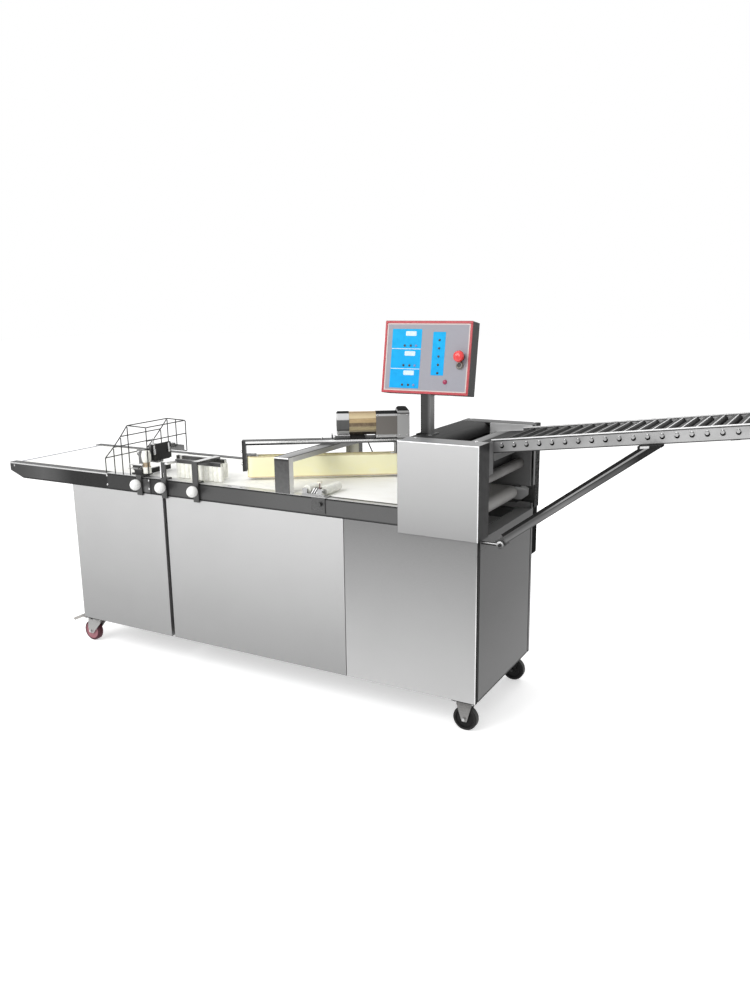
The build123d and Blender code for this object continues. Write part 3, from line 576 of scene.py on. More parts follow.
def infeed_roller_steel():
    """In-feed rollers: dark grey tubes, brushed round, painted lighter towards the right, each with a thin
    painted highlight line along it.
    """
    n = metal("infeed_steel", 98, 0.34, 0, (1, 40, 1), 0.95, 0.3)
    along, across = n.slant("XZ", FIRST_AXLE, INCLINE)
    place = n.math("FRACT", n.math("ADD", n.math("MULTIPLY", along, 1 / (AXLE_PITCH * MM)), 0.5))
    reach = n.along("X", 2200, 2800, 0.635, 0.68)
    # Painted highlight: a thin bright line along the upper side of each roller
    highlight_line = n.both(n.above(place, 0.61), n.below(place, reach), n.above(across, 0.010))
    # Painted light: the rollers and their highlight lines get lighter towards the right
    tone = n.ramp(n.along("X", 2133, 2700), ((0, 206), (1, 255)))
    highlight_tone = n.ramp(n.along("X", 2133, 2640), ((0, 140), (1, 240)))
    n.colour(n.mix(highlight_line, n.mix(1.0, n.base(), tone, "MULTIPLY"), highlight_tone))
    n.set(Specular_IOR_Level=0.05, Specular_Tint=EDGE_TINT)
    return n


def axle_end_steel():
    """Axle ends of the in-feed: polished dark domes, with a painted highlight over their upper part."""
    n = metal("axle_steel", 42, 0.24, 0, (1, 1, 1), 1.0, 0.2)
    across = n.slant("XZ", FIRST_AXLE, INCLINE)[1]
    # Painted highlight on the upper part of each dome
    n.colour(n.mix(n.span(across, 0.0064, 0.0072), n.base(), 246))
    return n


def gantry_steel():
    """Gantry, in painted light and shade: a dark front face with a painted dark line and highlight along its
    top edge, side returns and top painted light, and the inner face of the far leg painted light.
    """
    n = Nodes("gantry_steel")
    streak = n.noise(60, (1, 20, 1))
    rise = n.along("Z", 880, 1030)
    # Painted dark line and highlight along the top edge of the front face
    front = n.ramp(rise, ((0, 90), (0.88, 68), (0.92, 34), (0.955, 40), (0.965, 236), (1, 236)))
    # The inner face of the far leg is painted light
    front = n.mix(n.between("Y", 300, 602), front, 196)
    # Side returns and top painted light, with darker edges
    side = n.ramp(rise, ((0, 240), (1, 214)))
    bar = n.ramp(n.along("Y", 34, 560), ((0, 204), (0.4, 150), (1, 104)))
    side = n.mix(n.both(n.over("Z", 1007.5), n.over("Y", 34)), side, bar)
    side = n.mix(n.under("Y", 4), side, 90)
    side = n.mix(n.both(n.over("Y", 566), n.under("Z", 1007.5)), side, 60)
    base = n.mix(n.over("X", 1266.5), front, side)
    top = n.ramp(n.along("X", 1196, 1267), ((0, 40), (0.12, 60), (0.16, 176), (0.8, 146), (0.9, 70), (1, 60)))
    base = n.mix(n.over("Z", 1028.5), base, top)
    n.brushed(base, streak, 0.08, 170, (0.34, 0.48))
    n.set(Metallic=0.6)
    return n


def beam_steel():
    """Polished beam: a painted bright reflection along its face, painted dark lines along its long edges, and
    dark end arms.
    """
    n = Nodes("beam_steel")
    streak = n.noise(70, (20, 1, 1))
    rise = n.along("Z", 1034, 1054)
    # Painted reflection: a bright band between dark lines across the face
    bar = n.ramp(rise, ((0.38, 246), (0.84, 250), (0.88, 40), (0.985, 80), (1, 96)))
    along = n.slant("XY", ROLLING_START, ROLLING_TURN)[0]
    edge = n.ramp(n.span(along, 0.15, 0.24), ((0, 4), (1, 104)))
    bar = n.mix(n.below(rise, 0.4), bar, edge)
    arm = n.ramp(n.span(along, -0.012, 0.005), ((0, 4), (0.15, 12), (0.3, 48), (1, 66)))
    lug = n.both(n.below(along, 0.06), n.under("Z", 1030))
    base = n.mix(n.below(along, 0.0052), n.mix(lug, bar, 124), arm)
    base = n.mix(n.above(along, 0.6987), base, 20)
    n.brushed(base, streak, 0.08, 170, (0.22, 0.36), (0.03, 0.0008))
    n.set(Metallic=0.6, Specular_Tint=EDGE_TINT)
    return n


def cutter_steel():
    """Cutter stand in grey sheet, with a black lower bar and a dark jaw with painted highlights across its
    middle and along its upper rim.
    """
    n = metal("cutter_steel", 122, 0.36, 0, (1, 1, 30), 0.55, 0.25)
    bar = n.both(n.under("Z", 906.5), n.over("Y", 36.2))
    jaw = n.both(n.under("Z", 944.5), n.under("Y", 27.5))
    # Painted highlights on the dark jaw: a band across its middle and its upper rim
    jaw_tone = n.ramp(n.along("Z", 897, 943), (
        (0, 26), (0.36, 48), (0.48, 150), (0.6, 36), (0.78, 60), (0.86, 226)))
    n.colour(n.mix(jaw, n.mix(bar, n.base(), 20), jaw_tone))
    return n


def gearbox_metal():
    """Motor end cap in painted bands of light and shade, dark gearbox with painted highlights near its top
    and bottom, lighter cover with painted dark lines, a highlight and a dark top, black plate and foot.
    """
    n = Nodes("gearbox_metal")
    streak = n.noise(70, (1, 1, 30))
    along = n.slant("XY", ROLLING_START, ROLLING_TURN)[0]
    box_start = 0.5795
    past = n.above(along, 0.6732)
    # Painted bands of light and shade across the end cap
    cap = n.ramp(n.along("Z", 1070, 1172), (
        (0, 40), (0.03, 232), (0.2, 226), (0.24, 86), (0.68, 90), (0.72, 206), (0.93, 214), (0.97, 30)))
    # Painted highlights and dark lines near the gearbox's bottom and top
    box = n.ramp(n.along("Z", 1058, 1168), (
        (0, 18), (0.05, 190), (0.12, 180), (0.16, grey(120, 4)),
        (0.87, grey(116, 4)), (0.9, 206), (0.95, 216), (0.98, 36)))
    # Painted dark lines and a highlight near the cover's top
    cover = n.ramp(n.along("Z", 1058, 1186), (
        (0, 184), (0.8, 178), (0.84, 60), (0.9, 204), (0.95, 54), (1, 40)))
    base = n.mix(n.above(along, box_start), cap, box)
    base = n.mix(past, base, cover)
    base = n.mix(n.under("Z", 1057.9), base, 22)
    foot = n.both(n.under("Z", 1070.9), n.below(along, box_start - 0.0005))
    base = n.mix(foot, base, 34)
    n.brushed(base, streak, 0.06, 170, (0.38, 0.52), (0.04, 0.0008))
    top = n.above(n.axis("Z"), n.span(past, 0.0, 1.0, row("Z", 1165.6), row("Z", 1179.6)))
    n.metallic(top, 0.4, 1.0)
    n.set(Specular_Tint=EDGE_TINT)
    return n


def clamp_steel():
    """Clamps and fence channels, with painted highlights on the right clamp's arm, the tie beside the middle
    clamp and a stripe down the middle clamp's post; the press roller bracket has fins with painted highlights
    on their front edges and painted shade behind them, and a small knobbed screw.
    """
    n = metal("clamp_steel", 76, 0.3, 0, (1, 1, 30), 0.75, 0.4)
    bracket = n.both(n.over("X", 1320), n.over("Z", 880.5))
    base = n.mix(bracket, n.base(), 168)
    # Painted highlights on the fins' front edges, painted shade behind them
    fin = n.both(bracket, n.between("X", 1357.5, 1405.5), n.between("Y", 15.5, 37.5), n.over("Z", 884.5))
    base = n.mix(fin, base, 240)
    base = n.mix(n.both(fin, n.over("Y", 16.2)), base, 70)
    screw = n.both(n.between("X", 1397, 1421), n.over("Z", 912.2))
    base = n.mix(screw, base, linear(104, 82, 80))
    base = n.mix(n.both(screw, n.over("Z", 937.9)), base, linear(232, 228, 212))
    # The right clamp's arm is painted light, brightest on top
    arm = n.both(n.between("X", 759, 791), n.over("Y", 1), n.over("Z", 967))
    base = n.mix(arm, base, n.mix(n.over("Z", 975.5), 120, 222))
    # Painted highlight on the tie beside the middle clamp
    tie = n.both(n.between("X", 606.2, 622.5), n.under("Y", 52), n.over("Z", 950))
    base = n.mix(tie, base, 226)
    # Painted highlight in a stripe down the middle clamp's post
    post_highlight = n.both(n.between("X", 570, 582), n.under("Y", 300), n.over("Z", 888))
    base = n.mix(post_highlight, base, 236)
    n.colour(base)
    return n


def white_nylon():
    """White nylon, with painted shade in a tan ring round the neck of the barrel guide."""
    n = plastic("white_nylon", linear(253, 253, 244), 0.42, 0.05, 60)
    # Painted shade in a tan ring round the barrel's neck
    neck_shade = n.both(n.under("X", 500), n.between("Z", 926.2, 947.8))
    n.colour(n.mix(neck_shade, n.base(), linear(170, 152, 126)))
    return n


def face_paint():
    """Control face: cool grey sheet with a fine horizontal grain and a lighter edge."""
    n = Nodes("face_sheet")
    grain = n.noise(70, (1, 1, 40))
    cloud = n.noise(6, detail=2)
    base = n.mix(n.span(grain, 0.3, 0.7, 0.0, 0.3), linear(150, 150, 158), linear(168, 167, 175))
    base = n.mix(n.span(cloud, 0.4, 0.7, 0.0, 0.25), base, linear(158, 146, 150))
    beside, level = [n.math("ABSOLUTE", step) for step in n.steps("XZ", FACE_PLACE[::2])]
    edge = n.math("MAXIMUM", n.above(beside, 0.1712), n.above(level, 0.1238))
    n.colour(n.mix(edge, base, linear(206, 194, 190)))
    n.surface(grain, (0.4, 0.52), (0.03, 0.0004))
    n.set(Metallic=0.0, Specular_IOR_Level=0.2)
    return n


def blue_film():
    """Key film: cyan blue, a little deeper towards its lower edge."""
    n = plastic("blue_film", linear(20, 174, 233), 0.42, 0.05, 40)
    n.colour(n.mix(n.along("Z", 1360, 1540, 0.35, 0.0), n.base(), linear(2, 150, 232)))
    n.set(Specular_IOR_Level=0.12)
    return n


def post_steel():
    """Control post: brushed tube with painted shade, dark on its left and lighter towards a painted highlight
    along its right edge.
    """
    n = Nodes("post_steel")
    streak = n.noise(60, (1, 1, 30))
    # Painted shade and highlight across the tube
    base = n.ramp(n.along("X", 1789.5, 1829.5), (
        (0, 22), (0.06, 36), (0.12, 58), (0.72, 58), (0.8, 86), (0.97, 84), (0.985, 148), (1, 150)))
    n.brushed(base, streak, 0.12, 130, (0.36, 0.48), (0.05, 0.001))
    n.set(Metallic=0.95, Specular_IOR_Level=0.1, Specular_Tint=EDGE_TINT)
    return n


def castor_wheel(name, place, tread, tyre, side, hub, dusty):
    """Castor wheel: tread, tyre, moulded side and hub in their own tones."""
    n = Nodes(name)
    away = n.distance("XZ", (place, WHEEL_RADIUS))
    dust = n.noise(90)
    base = n.ramp(n.span(away, 0.0, WHEEL_RADIUS * MM), (
        (0, hub), (0.29, hub), (0.33, side), (0.76, side),
        (0.82, tyre), (0.97, tyre), (0.985, tread), (1, tread)))
    n.colour(n.mix(n.span(dust, 0.5, 0.8, 0.0, dusty), base, linear(150, 140, 138)))
    n.surface(dust, (0.42, 0.58), (0.05, 0.0006))
    n.set(Metallic=0.0, Specular_IOR_Level=0.2)
    return n


def fork_steel(name, low, high):
    """Pressed castor fork: zinc plated, with a dark top plate; the rear right one is dark throughout."""
    n = Nodes(name)
    spangle = n.noise(120, (1, 1, 3))
    base = n.ramp(n.along("Z", 30, 124), ((0, grey(low, 1)), (0.9, grey(high, 1)), (1, grey(high - 30))))
    base = n.mix(n.span(spangle, 0.4, 0.7, 0.0, 0.3), base, grey(low + 16, 1))
    dark = n.math("MAXIMUM", n.over("Z", 125.5), n.both(n.over("X", ORIGIN["X"]), n.over("Y", 300)))
    n.colour(n.mix(dark, base, 34))
    n.surface(spangle, (0.34, 0.46), (0.04, 0.0006))
    n.set(Metallic=0.5, Specular_IOR_Level=0.25)
    return n


materials = {n.name: n for n in (
    metal("frame_steel", 96, 0.4, 0, (1, 1, 30), 0.7),
    front_panel_steel(),
    right_end_steel(),
    front_housing_steel(),
    rear_housing_steel(),
    head_steel(),
    rail_steel(),
    post_steel(),
    infeed_plate_steel(),
    gantry_steel(),
    beam_steel(),
    cutter_steel(),
    clamp_steel(),
    white_belt(),
    rolling_belt_weave(),
    control_paint(),
    gold_body(),
    gearbox_metal(),
    plastic("black_rubber", grey(26), 0.55, 0.08, 160),
    white_nylon(),
    plastic("white_plastic", linear(254, 254, 252), 0.22, 0.04, 50, 0.4),
    metal("dark_wire", 44, 0.36, 0, (1, 1, 1), 0.6, 0.3),
    metal("zinc_steel", 158, 0.34, 3, (1, 1, 12), 0.85, 0.3),
    metal("drum_aluminium", 176, 0.3, 0, (1, 30, 1), 0.9, 0.2),
    # Sheeting roller steel, painted dark for the shade inside the head
    metal("sheeting_steel", 46, 0.55, 0, (1, 40, 1), 0.15, 0.2),
    metal("roller_steel", 92, 0.5, 2, (1, 40, 1), 0.2, 0.2),
    infeed_roller_steel(),
    plastic("black_paint", grey(14), 0.4, 0.06, 140),
    plastic("red_plastic", linear(232, 52, 52), 0.25, 0.04, 60, 0.5),
    castor_wheel("red_wheel", AXLE_LEFT, linear(92, 50, 58), linear(74, 34, 44), linear(170, 118, 126),
                 180, 0.2),
    castor_wheel("black_wheel", AXLE_RIGHT, 54, 30, 14, 50, 0.04),
    fork_steel("fixed_fork", 146, 104),
    fork_steel("swivel_fork", 166, 150),
    face_paint(),
    plastic("red_border", linear(184, 56, 64), 0.35, 0.05, 90),
    blue_film(),
    plastic("lilac_film", linear(120, 132, 182), 0.4, 0.05, 60),
    plastic("white_film", linear(204, 224, 240), 0.3, 0.05, 60),
    plastic("black_film", grey(28), 0.35, 0.05, 80),
    plastic("red_lamp", linear(164, 40, 82), 0.25, 0.04, 60, 0.2),
    metal("lock_brass", 112, 0.4, 6, (1, 1, 1), 0.4, 0.2),
    metal("bright_screw", 196, 0.22, 0, (1, 1, 1), 1.0, 0.2),
    axle_end_steel(),
    metal("dark_screw", 58, 0.3, 0, (1, 1, 1), 0.9, 0.2),
    plastic("shadow_gap", grey(18), 0.6, 0.05, 60),
)}
materials["shadow_gap"].set(Specular_IOR_Level=0.02)
materials["black_paint"].set(Specular_IOR_Level=0.25)

node_materials = {
    "base_frame": "frame_steel", "front_panels": "front_panel_steel", "cabinet_panels": "end_panel_steel",
    "conveyor_frame": "rail_steel", "conveyor_belt": "white_belt",
    "head_front_housing": "front_housing_steel", "head_rear_housing": "rear_housing_steel",
    "head_frame": "head_steel", "control_post": "post_steel",
    "control_box": "case_paint", "infeed_frame": "infeed_plate_steel", "gantry": "gantry_steel",
    "rolling_beam": "beam_steel", "rolling_belt": "yellow_belt", "motor_body": "gold_aluminium",
    "rolling_gearbox": "gearbox_metal", "motor_cable": "black_rubber", "rail_clamps": "clamp_steel",
    "nylon_guides": "white_nylon", "cutter_stand": "cutter_steel", "guard_cage": "dark_wire",
    "castor_mounts": "fixed_fork", "nose_roller": "drum_aluminium",
    "tail_drum": "roller_steel", "sheeting_roller": "sheeting_steel", "pinch_roller": "roller_steel",
    "rolling_drive_drum": "drum_aluminium", "rolling_idler_drum": "drum_aluminium",
    "press_roller_left": "white_nylon", "press_roller_right": "white_nylon",
    "clamp_knob_left": "white_plastic", "clamp_knob_middle": "white_plastic",
    "clamp_knob_right": "white_plastic",
    "cutter_blade": "black_paint", "emergency_stop": "red_plastic", "front_swivel_fork": "swivel_fork",
    "rear_swivel_fork": "swivel_fork", "front_brake_pedal": "zinc_steel", "front_left_wheel": "red_wheel",
    "rear_left_wheel": "red_wheel", "front_right_wheel": "black_wheel", "rear_right_wheel": "black_wheel",
}


def shade_smooth(piece, angle=35):
    """Round faces look round and folded edges stay sharp."""
    mesh = piece.data
    mesh.polygons.foreach_set("use_smooth", [True] * len(mesh.polygons))
    shape = bmesh.new()
    shape.from_mesh(mesh)
    limit = math.radians(angle)
    sharp = {e.index for e in shape.edges if len(e.link_faces) != 2 or e.calc_face_angle(0) > limit}
    shape.free()
    for edge in mesh.edges:
        edge.use_edge_sharp = edge.index in sharp


# Nodes without an entry are the in-feed's rollers
for node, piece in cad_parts.items():
    chosen = node_materials.get(node, "infeed_steel")
    piece.data.materials.clear()
    piece.data.materials.append(materials[chosen].material)
    shade_smooth(piece)


# Shapes for the small pieces
def matrix_to(place, normal, across=(0, 0, 1)):
    """Frame with its Z along normal."""
    z = Vector(normal).normalized()
    x = Vector(across)
    x = x - z * x.dot(z)
    if x.length < 1e-4:
        x = Vector((1, 0, 0)) - z * z.x
    x.normalize()
    y = z.cross(x)
    turn = Matrix((x, y, z)).transposed().to_4x4()
    return Matrix.Translation(place) @ turn


def lathe(shape, profile, place, steps):
    """Turned form: profile is (radius, height) pairs in millimetres from bottom to top."""
    rings = []
    for radius, height in profile:
        if radius < 1e-6:
            rings.append([shape.verts.new(place @ Vector((0, 0, height * MM)))])
            continue
        ring = []
        for step in range(steps):
            turn = 2 * math.pi * step / steps
            point = Vector((radius * math.cos(turn) * MM, radius * math.sin(turn) * MM, height * MM))
            ring.append(shape.verts.new(place @ point))
        rings.append(ring)
    for low, high in zip(rings, rings[1:]):
        for step in range(steps):
            after = (step + 1) % steps
            corners = [ring[number % len(ring)]
                       for ring, number in ((low, step), (low, after), (high, after), (high, step))]
            unique = list(dict.fromkeys(corners))
            if len(unique) > 2:
                shape.faces.new(unique)
    for ring, flip in ((rings[0], True), (rings[-1], False)):
        if len(ring) > 2:
            shape.faces.new(list(reversed(ring)) if flip else ring)


def skin(shape, rings):
    """Faces between rings of the same size, and one over each end."""
    count = len(rings[0])
    for low, high in zip(rings, rings[1:]):
        for step in range(count):
            after = (step + 1) % count
            shape.faces.new((low[step], low[after], high[after], high[step]))
    shape.faces.new(rings[-1])
    shape.faces.new(list(reversed(rings[0])))


def rounded_plate(shape, width, height, thick, radius, place, steps=5, edge=0.4):
    """Flat plate on its frame's XY plane, with round corners and a softened front edge, in millimetres."""
    def outline(inset):
        points = []
        r = max(radius - inset, 0.05)
        for sx, sy, start in ((1, 1, 0), (-1, 1, 90), (-1, -1, 180), (1, -1, 270)):
            cx = sx * (width / 2 - inset - r)
            cy = sy * (height / 2 - inset - r)
            for step in range(steps + 1):
                turn = math.radians(start + 90 * step / steps)
                points.append((cx + r * math.cos(turn), cy + r * math.sin(turn)))
        return points

    rings = []
    for inset, level in ((0, 0), (0, thick - edge), (edge, thick)):
        ring = [Vector((x, y, level)) * MM for x, y in outline(inset)]
        rings.append([shape.verts.new(place @ point) for point in ring])
    skin(shape, rings)


def tube(shape, path, radius, steps=8):
    """Round wire along points of the row's frame, with its radius in millimetres."""
    turns = [2 * math.pi * step / steps for step in range(steps)]
    rings = []
    for number, point in enumerate(path):
        before = path[max(number - 1, 0)]
        after = path[min(number + 1, len(path) - 1)]
        place = matrix_to(point, after - before, (0.3, 0.2, 1))
        ring = [Vector((math.cos(turn), math.sin(turn), 0)) * radius * MM for turn in turns]
        rings.append([shape.verts.new(place @ corner) for corner in ring])
    skin(shape, rings)


def link(name, data):
    """A new object in the scene."""
    piece = bpy.data.objects.new(name, data)
    scene.collection.objects.link(piece)
    return piece


def piece_from(shape, name, material, body="frame", angle=35):
    """Turn a shape into a piece that rides on a body."""
    bmesh.ops.recalc_face_normals(shape, faces=shape.faces)
    mesh = bpy.data.meshes.new(name)
    shape.to_mesh(mesh)
    shape.free()
    piece = link(name, mesh)
    mesh.materials.append(materials[material].material)
    shade_smooth(piece, angle)
    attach(piece, body)


SCREW = ((5.2, 0), (5.2, 1.0), (4.6, 2.0), (3.2, 2.8), (1.4, 3.1), (0, 3.2))
HEX_NUT = ((7.5, 0), (7.5, 5.0), (6.6, 5.8), (3.4, 5.8), (3.4, 8.4), (2.6, 9.0), (0, 9.0))


def scaled(profile, wide, tall):
    return [(radius * wide, height * tall) for radius, height in profile]


def screws(name, places, normal, material="bright_screw", profile=SCREW, size=1.0, steps=14, body="frame"):
    """A row of the same screws or bolts."""
    shape = bmesh.new()
    for place in places:
        lathe(shape, scaled(profile, size, size), matrix_to(at(*place), normal), steps)
    piece_from(shape, name, material, body, angle=50)


# Control face, with the heights of its layers in millimetres
FACE_NORMAL = Vector((0, -math.cos(FACE_TILT), math.sin(FACE_TILT)))
FACE_UP = Vector((0, math.sin(FACE_TILT), math.cos(FACE_TILT)))
FACE_CENTRE = at(*FACE_PLACE)
ON_SHEET = 1.05
ON_FILM = 1.55
CASE_BACK = -62


def on_face(x, y, out):
    """Frame on the control face: x to the right, y up along it, out of it."""
    place = FACE_CENTRE + Vector((x * MM, 0, 0)) + FACE_UP * (y * MM) + FACE_NORMAL * (out * MM)
    turn = Matrix((Vector((1, 0, 0)), FACE_UP, FACE_NORMAL)).transposed().to_4x4()
    return Matrix.Translation(place) @ turn


def control_face():
    """Sheet, border, films, displays, keys, lamp and lock, and the back plate of the case."""
    sheet = bmesh.new()
    rounded_plate(sheet, 354, 264, 1.0, 2, on_face(0, 0, 0.05))
    piece_from(sheet, "face_sheet", "face_sheet")
    border = bmesh.new()
    for end in (1, -1):
        rounded_plate(border, 370, 9, 3.0, 1.0, on_face(0, end * 134.5, 0.0), 3, 1.0)
    for end in (-1, 1):
        rounded_plate(border, 9, 260, 3.0, 1.0, on_face(end * 180.5, 0, 0.0), 3, 1.0)
    piece_from(border, "face_border", "red_border")
    film = bmesh.new()
    for y, height in ((70.5, 75), (-7, 74), (-83, 74)):
        rounded_plate(film, 128, height, 0.5, 2.0, on_face(-88, y, ON_SHEET), 4, 0.2)
    rounded_plate(film, 53, 165, 0.5, 2.0, on_face(50.5, 15.5, ON_SHEET), 4, 0.2)
    piece_from(film, "face_films", "blue_film")
    white = bmesh.new()
    for y in (90.5, 14, -60.5):
        rounded_plate(white, 46, 18, 1.0, 4.0, on_face(-70, y, ON_FILM), 4, 0.3)
    for y in (32, -45):
        rounded_plate(white, 126, 2.6, 0.3, 1.0, on_face(-88, y, 1.35), 3, 0.1)
    piece_from(white, "face_displays", "white_film")
    key = ((4.6, 0), (4.6, 1.2), (3.8, 1.9), (0, 2.2))
    dots = bmesh.new()
    key_rows = (44, -32, -107)
    for y in key_rows:
        for x in (-95, -69):
            lathe(dots, key, on_face(x, y, ON_FILM), 14)
    for y in (67, 35.5, 4.8, -26.6, -58):
        lathe(dots, key, on_face(52.5, y, ON_FILM), 14)
    piece_from(dots, "face_keys", "black_film")
    red = bmesh.new()
    dome = ((9.2, 0), (9.2, 1.4), (8.2, 2.4), (7.6, 4.2), (5.0, 5.6), (0, 6.2))
    lathe(red, dome, on_face(87, -91, ON_SHEET), 20)
    piece_from(red, "face_lamp", "red_lamp")
    pale = bmesh.new()
    for y in key_rows:
        lathe(pale, key, on_face(-46, y, ON_FILM), 14)
    piece_from(pale, "face_keys_pale", "lilac_film")
    lock = bmesh.new()
    barrel = ((16.2, 0), (16.2, 2.4), (14.6, 3.6), (13.6, 4.0), (13.0, 8.4),
              (12, 9.6), (8.4, 9.6), (7.8, 7.0), (0, 7.0))
    lathe(lock, barrel, on_face(144, -26.5, ON_SHEET), 24)
    piece_from(lock, "face_lock", "lock_brass")
    keyway = bmesh.new()
    lathe(keyway, ((7.4, 0), (7.4, 1.2), (6.6, 1.8), (0, 1.8)), on_face(144, -26.5, 8.1), 18)
    piece_from(keyway, "face_keyway", "black_film")
    back = bmesh.new()
    flip = Matrix.Rotation(math.pi, 4, "X")
    rounded_plate(back, 340, 250, 1.5, 4, on_face(0, 0, CASE_BACK) @ flip, 4, 0.6)
    piece_from(back, "case_back", "case_paint")
    fixings = bmesh.new()
    for x in (-158, 0, 158):
        for y in (-113, 113):
            lathe(fixings, SCREW, on_face(x, y, CASE_BACK - 1.5) @ flip, 14)
    piece_from(fixings, "case_screws", "dark_screw", angle=50)


control_face()

# Screws
FRONT = (0, -1, 0)
BACK = (0, 1, 0)
TOP = (0, 0, 1)
rail_screws = ((235, 868), (235, 825), (494, 866), (494, 828))
screws("rail_screws_front", [(x, 0, z) for x, z in rail_screws], FRONT)
screws("rail_screws_back", [(x, 608, z) for x, z in rail_screws], BACK)
screws("head_screws", ((1811.6, 69, 1139), (2057, 78, 1139)), TOP, size=1.3)
panel_screws = [(x, 608, z) for x in (30, 540, 620, 1490, 1553, 2070) for z in (160, 467, 774)]
screws("panel_screws_back", panel_screws, BACK)
screws("rear_housing_screws", [(x, 644, 1139) for x in (1795, 1940, 2083)], TOP)
plates = [(x, y) for x in (PLATE_LEFT, AXLE_RIGHT) for y in (40, 568)]
castor_bolts = [(x + dx, y + dy, 126) for x, y in plates for dx in (-39, 39) for dy in (-27, 27)]
screws("castor_bolts", castor_bolts, (0, 0, -1), "bright_screw", HEX_NUT, 0.8, 6)
for name, x, y, material, body in (
        ("axle_nut_right", AXLE_RIGHT, 16, "bright_screw", "frame"),
        ("axle_nut_right_rear", AXLE_RIGHT, 544, "dark_screw", "frame"),
        ("axle_nut_front", AXLE_LEFT, 16, "bright_screw", "front_swivel_fork"),
        ("axle_nut_rear", AXLE_LEFT, 544, "bright_screw", "rear_swivel_fork")):
    screws(name, ((x, y, WHEEL_RADIUS),), FRONT, material, HEX_NUT, 0.9, 6, body)


def along_infeed(u, y, w):
    """Point on the sloping in-feed: u along it from the first axle, w square to it."""
    x, z = FIRST_AXLE
    cosine = math.cos(INCLINE)
    sine = math.sin(INCLINE)
    return (x + u * cosine - w * sine, y, z + u * sine + w * cosine)


# Axle ends: a domed end with a painted highlight on top, over a black disc that stands for the slot it sits
# in and for the shade below it
DOME = ((4.8, 0), (4.8, 1.4), (4.2, 2.8), (2.7, 3.9), (1.2, 4.4), (0, 4.5))
SLOT_SHADE = ((8.4, 0), (8.4, 0.5), (7.6, 0.8), (0, 0.9))
axles = [number * AXLE_PITCH for number in range(AXLE_COUNT)]
for side, y, normal in (("front", 140, FRONT), ("back", 483, BACK)):
    slot_shades = [along_infeed(u, y, -4.5) for u in axles]
    screws(f"infeed_slot_shades_{side}", slot_shades, normal, "shadow_gap", SLOT_SHADE, 1.0, 16)
    ends = [along_infeed(u, y, 4.6) for u in axles]
    screws(f"infeed_axle_ends_{side}", ends, normal, "axle_steel", DOME, 1.0, 16)


def cutter_details():
    """Two latches on the blade holder, the rod end above it and the bolts of its stand."""
    button = ((6.4, 0), (6.4, 3.4), (5.4, 4.8), (3.0, 5.6), (0, 5.8))
    latch = bmesh.new()
    for y in (48, 143):
        rounded_plate(latch, 40, 9, 2.4, 3, matrix_to(at(495, y, 1000), (1, 0, 0)), 4, 0.8)
        lathe(latch, button, matrix_to(at(495, y, 983), (1, 0, 0)), 16)
        for wire in (y - 3.2, y + 3.2):
            tube(latch, [at(496.5, wire, 1004), at(500, wire, 1000), at(500, wire, 986)], 1.3)
    piece_from(latch, "cutter_latches", "bright_screw", "cutter_blade")
    post = bmesh.new()
    rod_end = ((8, 0), (8, 3), (5, 4), (5, 20), (6.5, 22), (6.5, 27), (5, 29), (0, 29.5))
    lathe(post, rod_end, matrix_to(at(490, 50, 1024), TOP), 18)
    piece_from(post, "cutter_rod_end", "bright_screw", "cutter_blade")
    bolt = bmesh.new()
    for place, normal, size in (
            ((421, 28, 988), FRONT, 1.0), ((428, 28, 927), FRONT, 0.8),
            ((412, 265, 976), BACK, 0.7), ((470, 265, 976), BACK, 0.7)):
        lathe(bolt, scaled(HEX_NUT, size, size), matrix_to(at(*place), normal), 6)
    piece_from(bolt, "cutter_bolts", "bright_screw")


cutter_details()

# Directions out of the rolling unit's front and left end
ROLLING_COS = math.cos(ROLLING_TURN)
ROLLING_SIN = math.sin(ROLLING_TURN)
ROLLING_FRONT = (ROLLING_SIN, -ROLLING_COS, 0)
ROLLING_LEFT = (-ROLLING_COS, -ROLLING_SIN, 0)


def in_rolling(s, y, z):
    """Point in the slanted rolling unit: s along its belt, y across it."""
    x0, y0 = ROLLING_START
    return at(x0 + s * ROLLING_COS - y * ROLLING_SIN, y0 + s * ROLLING_SIN + y * ROLLING_COS, z)


def motor_cable():
    """Cable from the motor down to the rear rail."""
    route = ((530, 50, 1104), (530, 82, 1104), (535, 104, 1082), (543, 110, 1046),
             (556, 108, 1004), (576, 106, 960), (590, 104, 922), (590, 104, 880))
    line = bpy.data.curves.new("motor_cable_line", "CURVE")
    line.dimensions = "3D"
    line.bevel_depth = 0.003
    line.bevel_resolution = 4
    line.use_fill_caps = True
    spline = line.splines.new("NURBS")
    spline.points.add(len(route) - 1)
    for point, place in zip(spline.points, route):
        point.co = (*in_rolling(*place), 1.0)
    spline.order_u = 3
    spline.use_endpoint_u = True
    spline.resolution_u = 8
    line.materials.append(materials["black_rubber"].material)
    cable = link("motor_cable_line", line)
    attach(cable, "frame")
    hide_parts("motor_cable")


motor_cable()


def rolling_details():
    """Bolts on the beam, gearbox and cover, and nuts on the left arm."""
    bolts = bmesh.new()
    for s, y, low in ((586, -49, 1068), (666, -49, 1068), (682, -51, 1070), (718, -51, 1070)):
        for z in (low, low + 90):
            lathe(bolts, scaled(SCREW, 0.7, 0.5), matrix_to(in_rolling(s, y, z), ROLLING_FRONT), 12)
    for s, tall in ((340, 1.0), (386, 2.9), (399, 1.8)):
        lathe(bolts, scaled(HEX_NUT, 0.8, tall), matrix_to(in_rolling(s, 0, 1054), TOP), 6)
    piece_from(bolts, "rolling_bolts", "bright_screw", angle=50)
    nuts = bmesh.new()
    left_face = -12
    for z in (948, 1004):
        lathe(nuts, HEX_NUT, matrix_to(in_rolling(left_face, 0, z), ROLLING_LEFT), 6)
    piece_from(nuts, "rolling_end_nuts", "bright_screw", angle=50)


rolling_details()

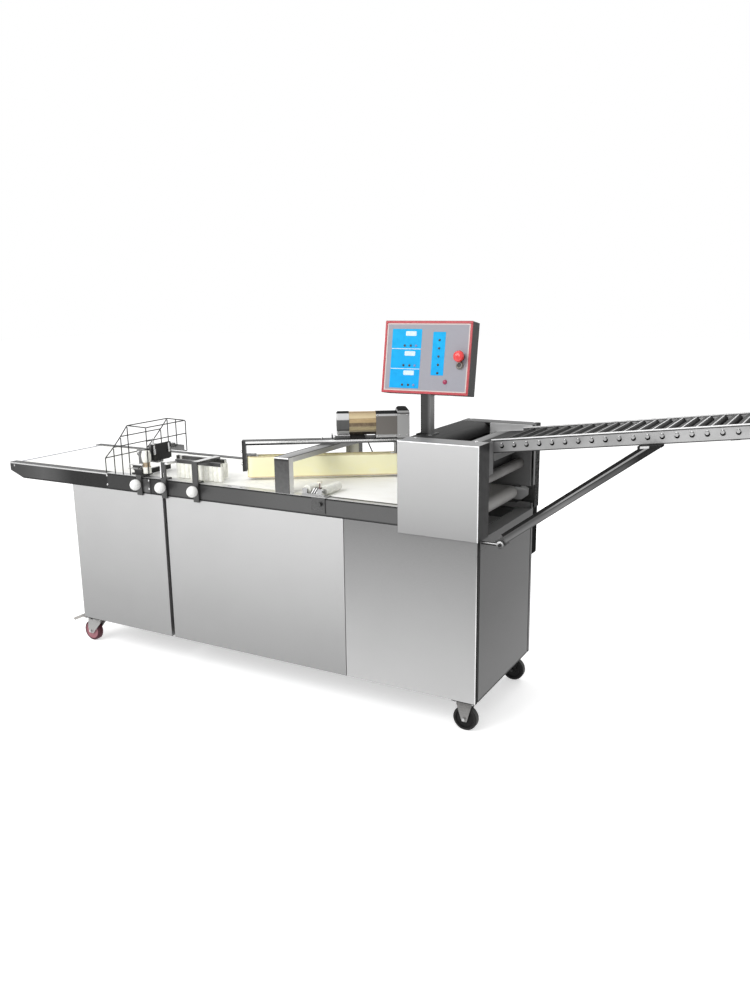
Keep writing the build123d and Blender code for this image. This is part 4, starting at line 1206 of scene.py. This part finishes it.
# Stage: pale floor, soft light, the photograph's camera
floor_shape = bmesh.new()
bmesh.ops.create_grid(floor_shape, x_segments=1, y_segments=1, size=30)
floor_mesh = bpy.data.meshes.new("floor")
floor_shape.to_mesh(floor_mesh)
floor_shape.free()
floor = link("floor", floor_mesh)

# The floor glows for the camera and in reflections only, so that it stays pale without lighting the machine
FLOOR_GLOW = 0.52
pale = Nodes("floor_pale")
pale.set(Base_Color=(0.82, 0.82, 0.82, 1.0), Roughness=0.9, Specular_IOR_Level=0.0)
glow = pale.add("ShaderNodeEmission")
pale.join(pale.math("MULTIPLY", pale.seen(), FLOOR_GLOW), glow.inputs["Strength"])
total = pale.add("ShaderNodeAddShader")
pale.join(pale.shader.outputs["BSDF"], total.inputs[0])
pale.join(glow.outputs["Emission"], total.inputs[1])
pale.join(total.outputs["Shader"], pale.tree.nodes["Material Output"].inputs["Surface"])
floor_mesh.materials.append(pale.material)

# White surroundings, which give less light from the right
world = bpy.data.worlds.new("studio")
scene.world = world
world.use_nodes = True
sky = Graph(world.node_tree)
background = sky.tree.nodes["Background"]
background.inputs["Color"].default_value = (1, 1, 1, 1)
dim = sky.span(sky.axis("X", "Generated"), -0.2, 0.8, 0.90, 0.48)
sky.join(sky.span(sky.seen(), 0.0, 1.0, dim, 1.0), background.inputs["Strength"])


def soft_light(name, place, target, size, power):
    lamp = bpy.data.lights.new(name, "AREA")
    lamp.energy = power
    lamp.size = size
    piece = link(name, lamp)
    piece.matrix_world = matrix_to(Vector(place), Vector(place) - Vector(target))


soft_light("key", (-1.6, -4.2, 4.2), (0, 0, 0.7), 3.5, 175)
soft_light("fill", (3.5, -3.5, 3.2), (0.5, 0, 0.8), 3.0, 12)
soft_light("back", (0.5, 4.5, 3.5), (0, 0, 0.8), 3.0, 60)

# Camera: turns in radians, place in machine coordinates, focal length as a share of the picture's height
YAW = 0.513
PITCH = 0.228
ROLL = -0.013
EYE = (3303.0, -2899.9, 1668.7)
FOCAL_SHARE = 880.12 / 1000
SENSOR = 36.0
forward = Vector((-math.sin(YAW) * math.cos(PITCH), math.cos(YAW) * math.cos(PITCH), -math.sin(PITCH)))
right = Vector((math.cos(YAW), math.sin(YAW), 0))
up = right.cross(forward)
camera_right = math.cos(ROLL) * right + math.sin(ROLL) * up
camera_up = -math.sin(ROLL) * right + math.cos(ROLL) * up
lens = bpy.data.cameras.new("camera")
lens.sensor_fit = "VERTICAL"
lens.sensor_height = SENSOR
lens.lens = FOCAL_SHARE * SENSOR
lens.clip_end = 200
camera = link("camera", lens)
turn = Matrix((camera_right, camera_up, -forward)).transposed().to_4x4()
camera.matrix_world = Matrix.Translation(at(*EYE)) @ turn
scene.camera = camera
scene.view_settings.view_transform = "Standard"
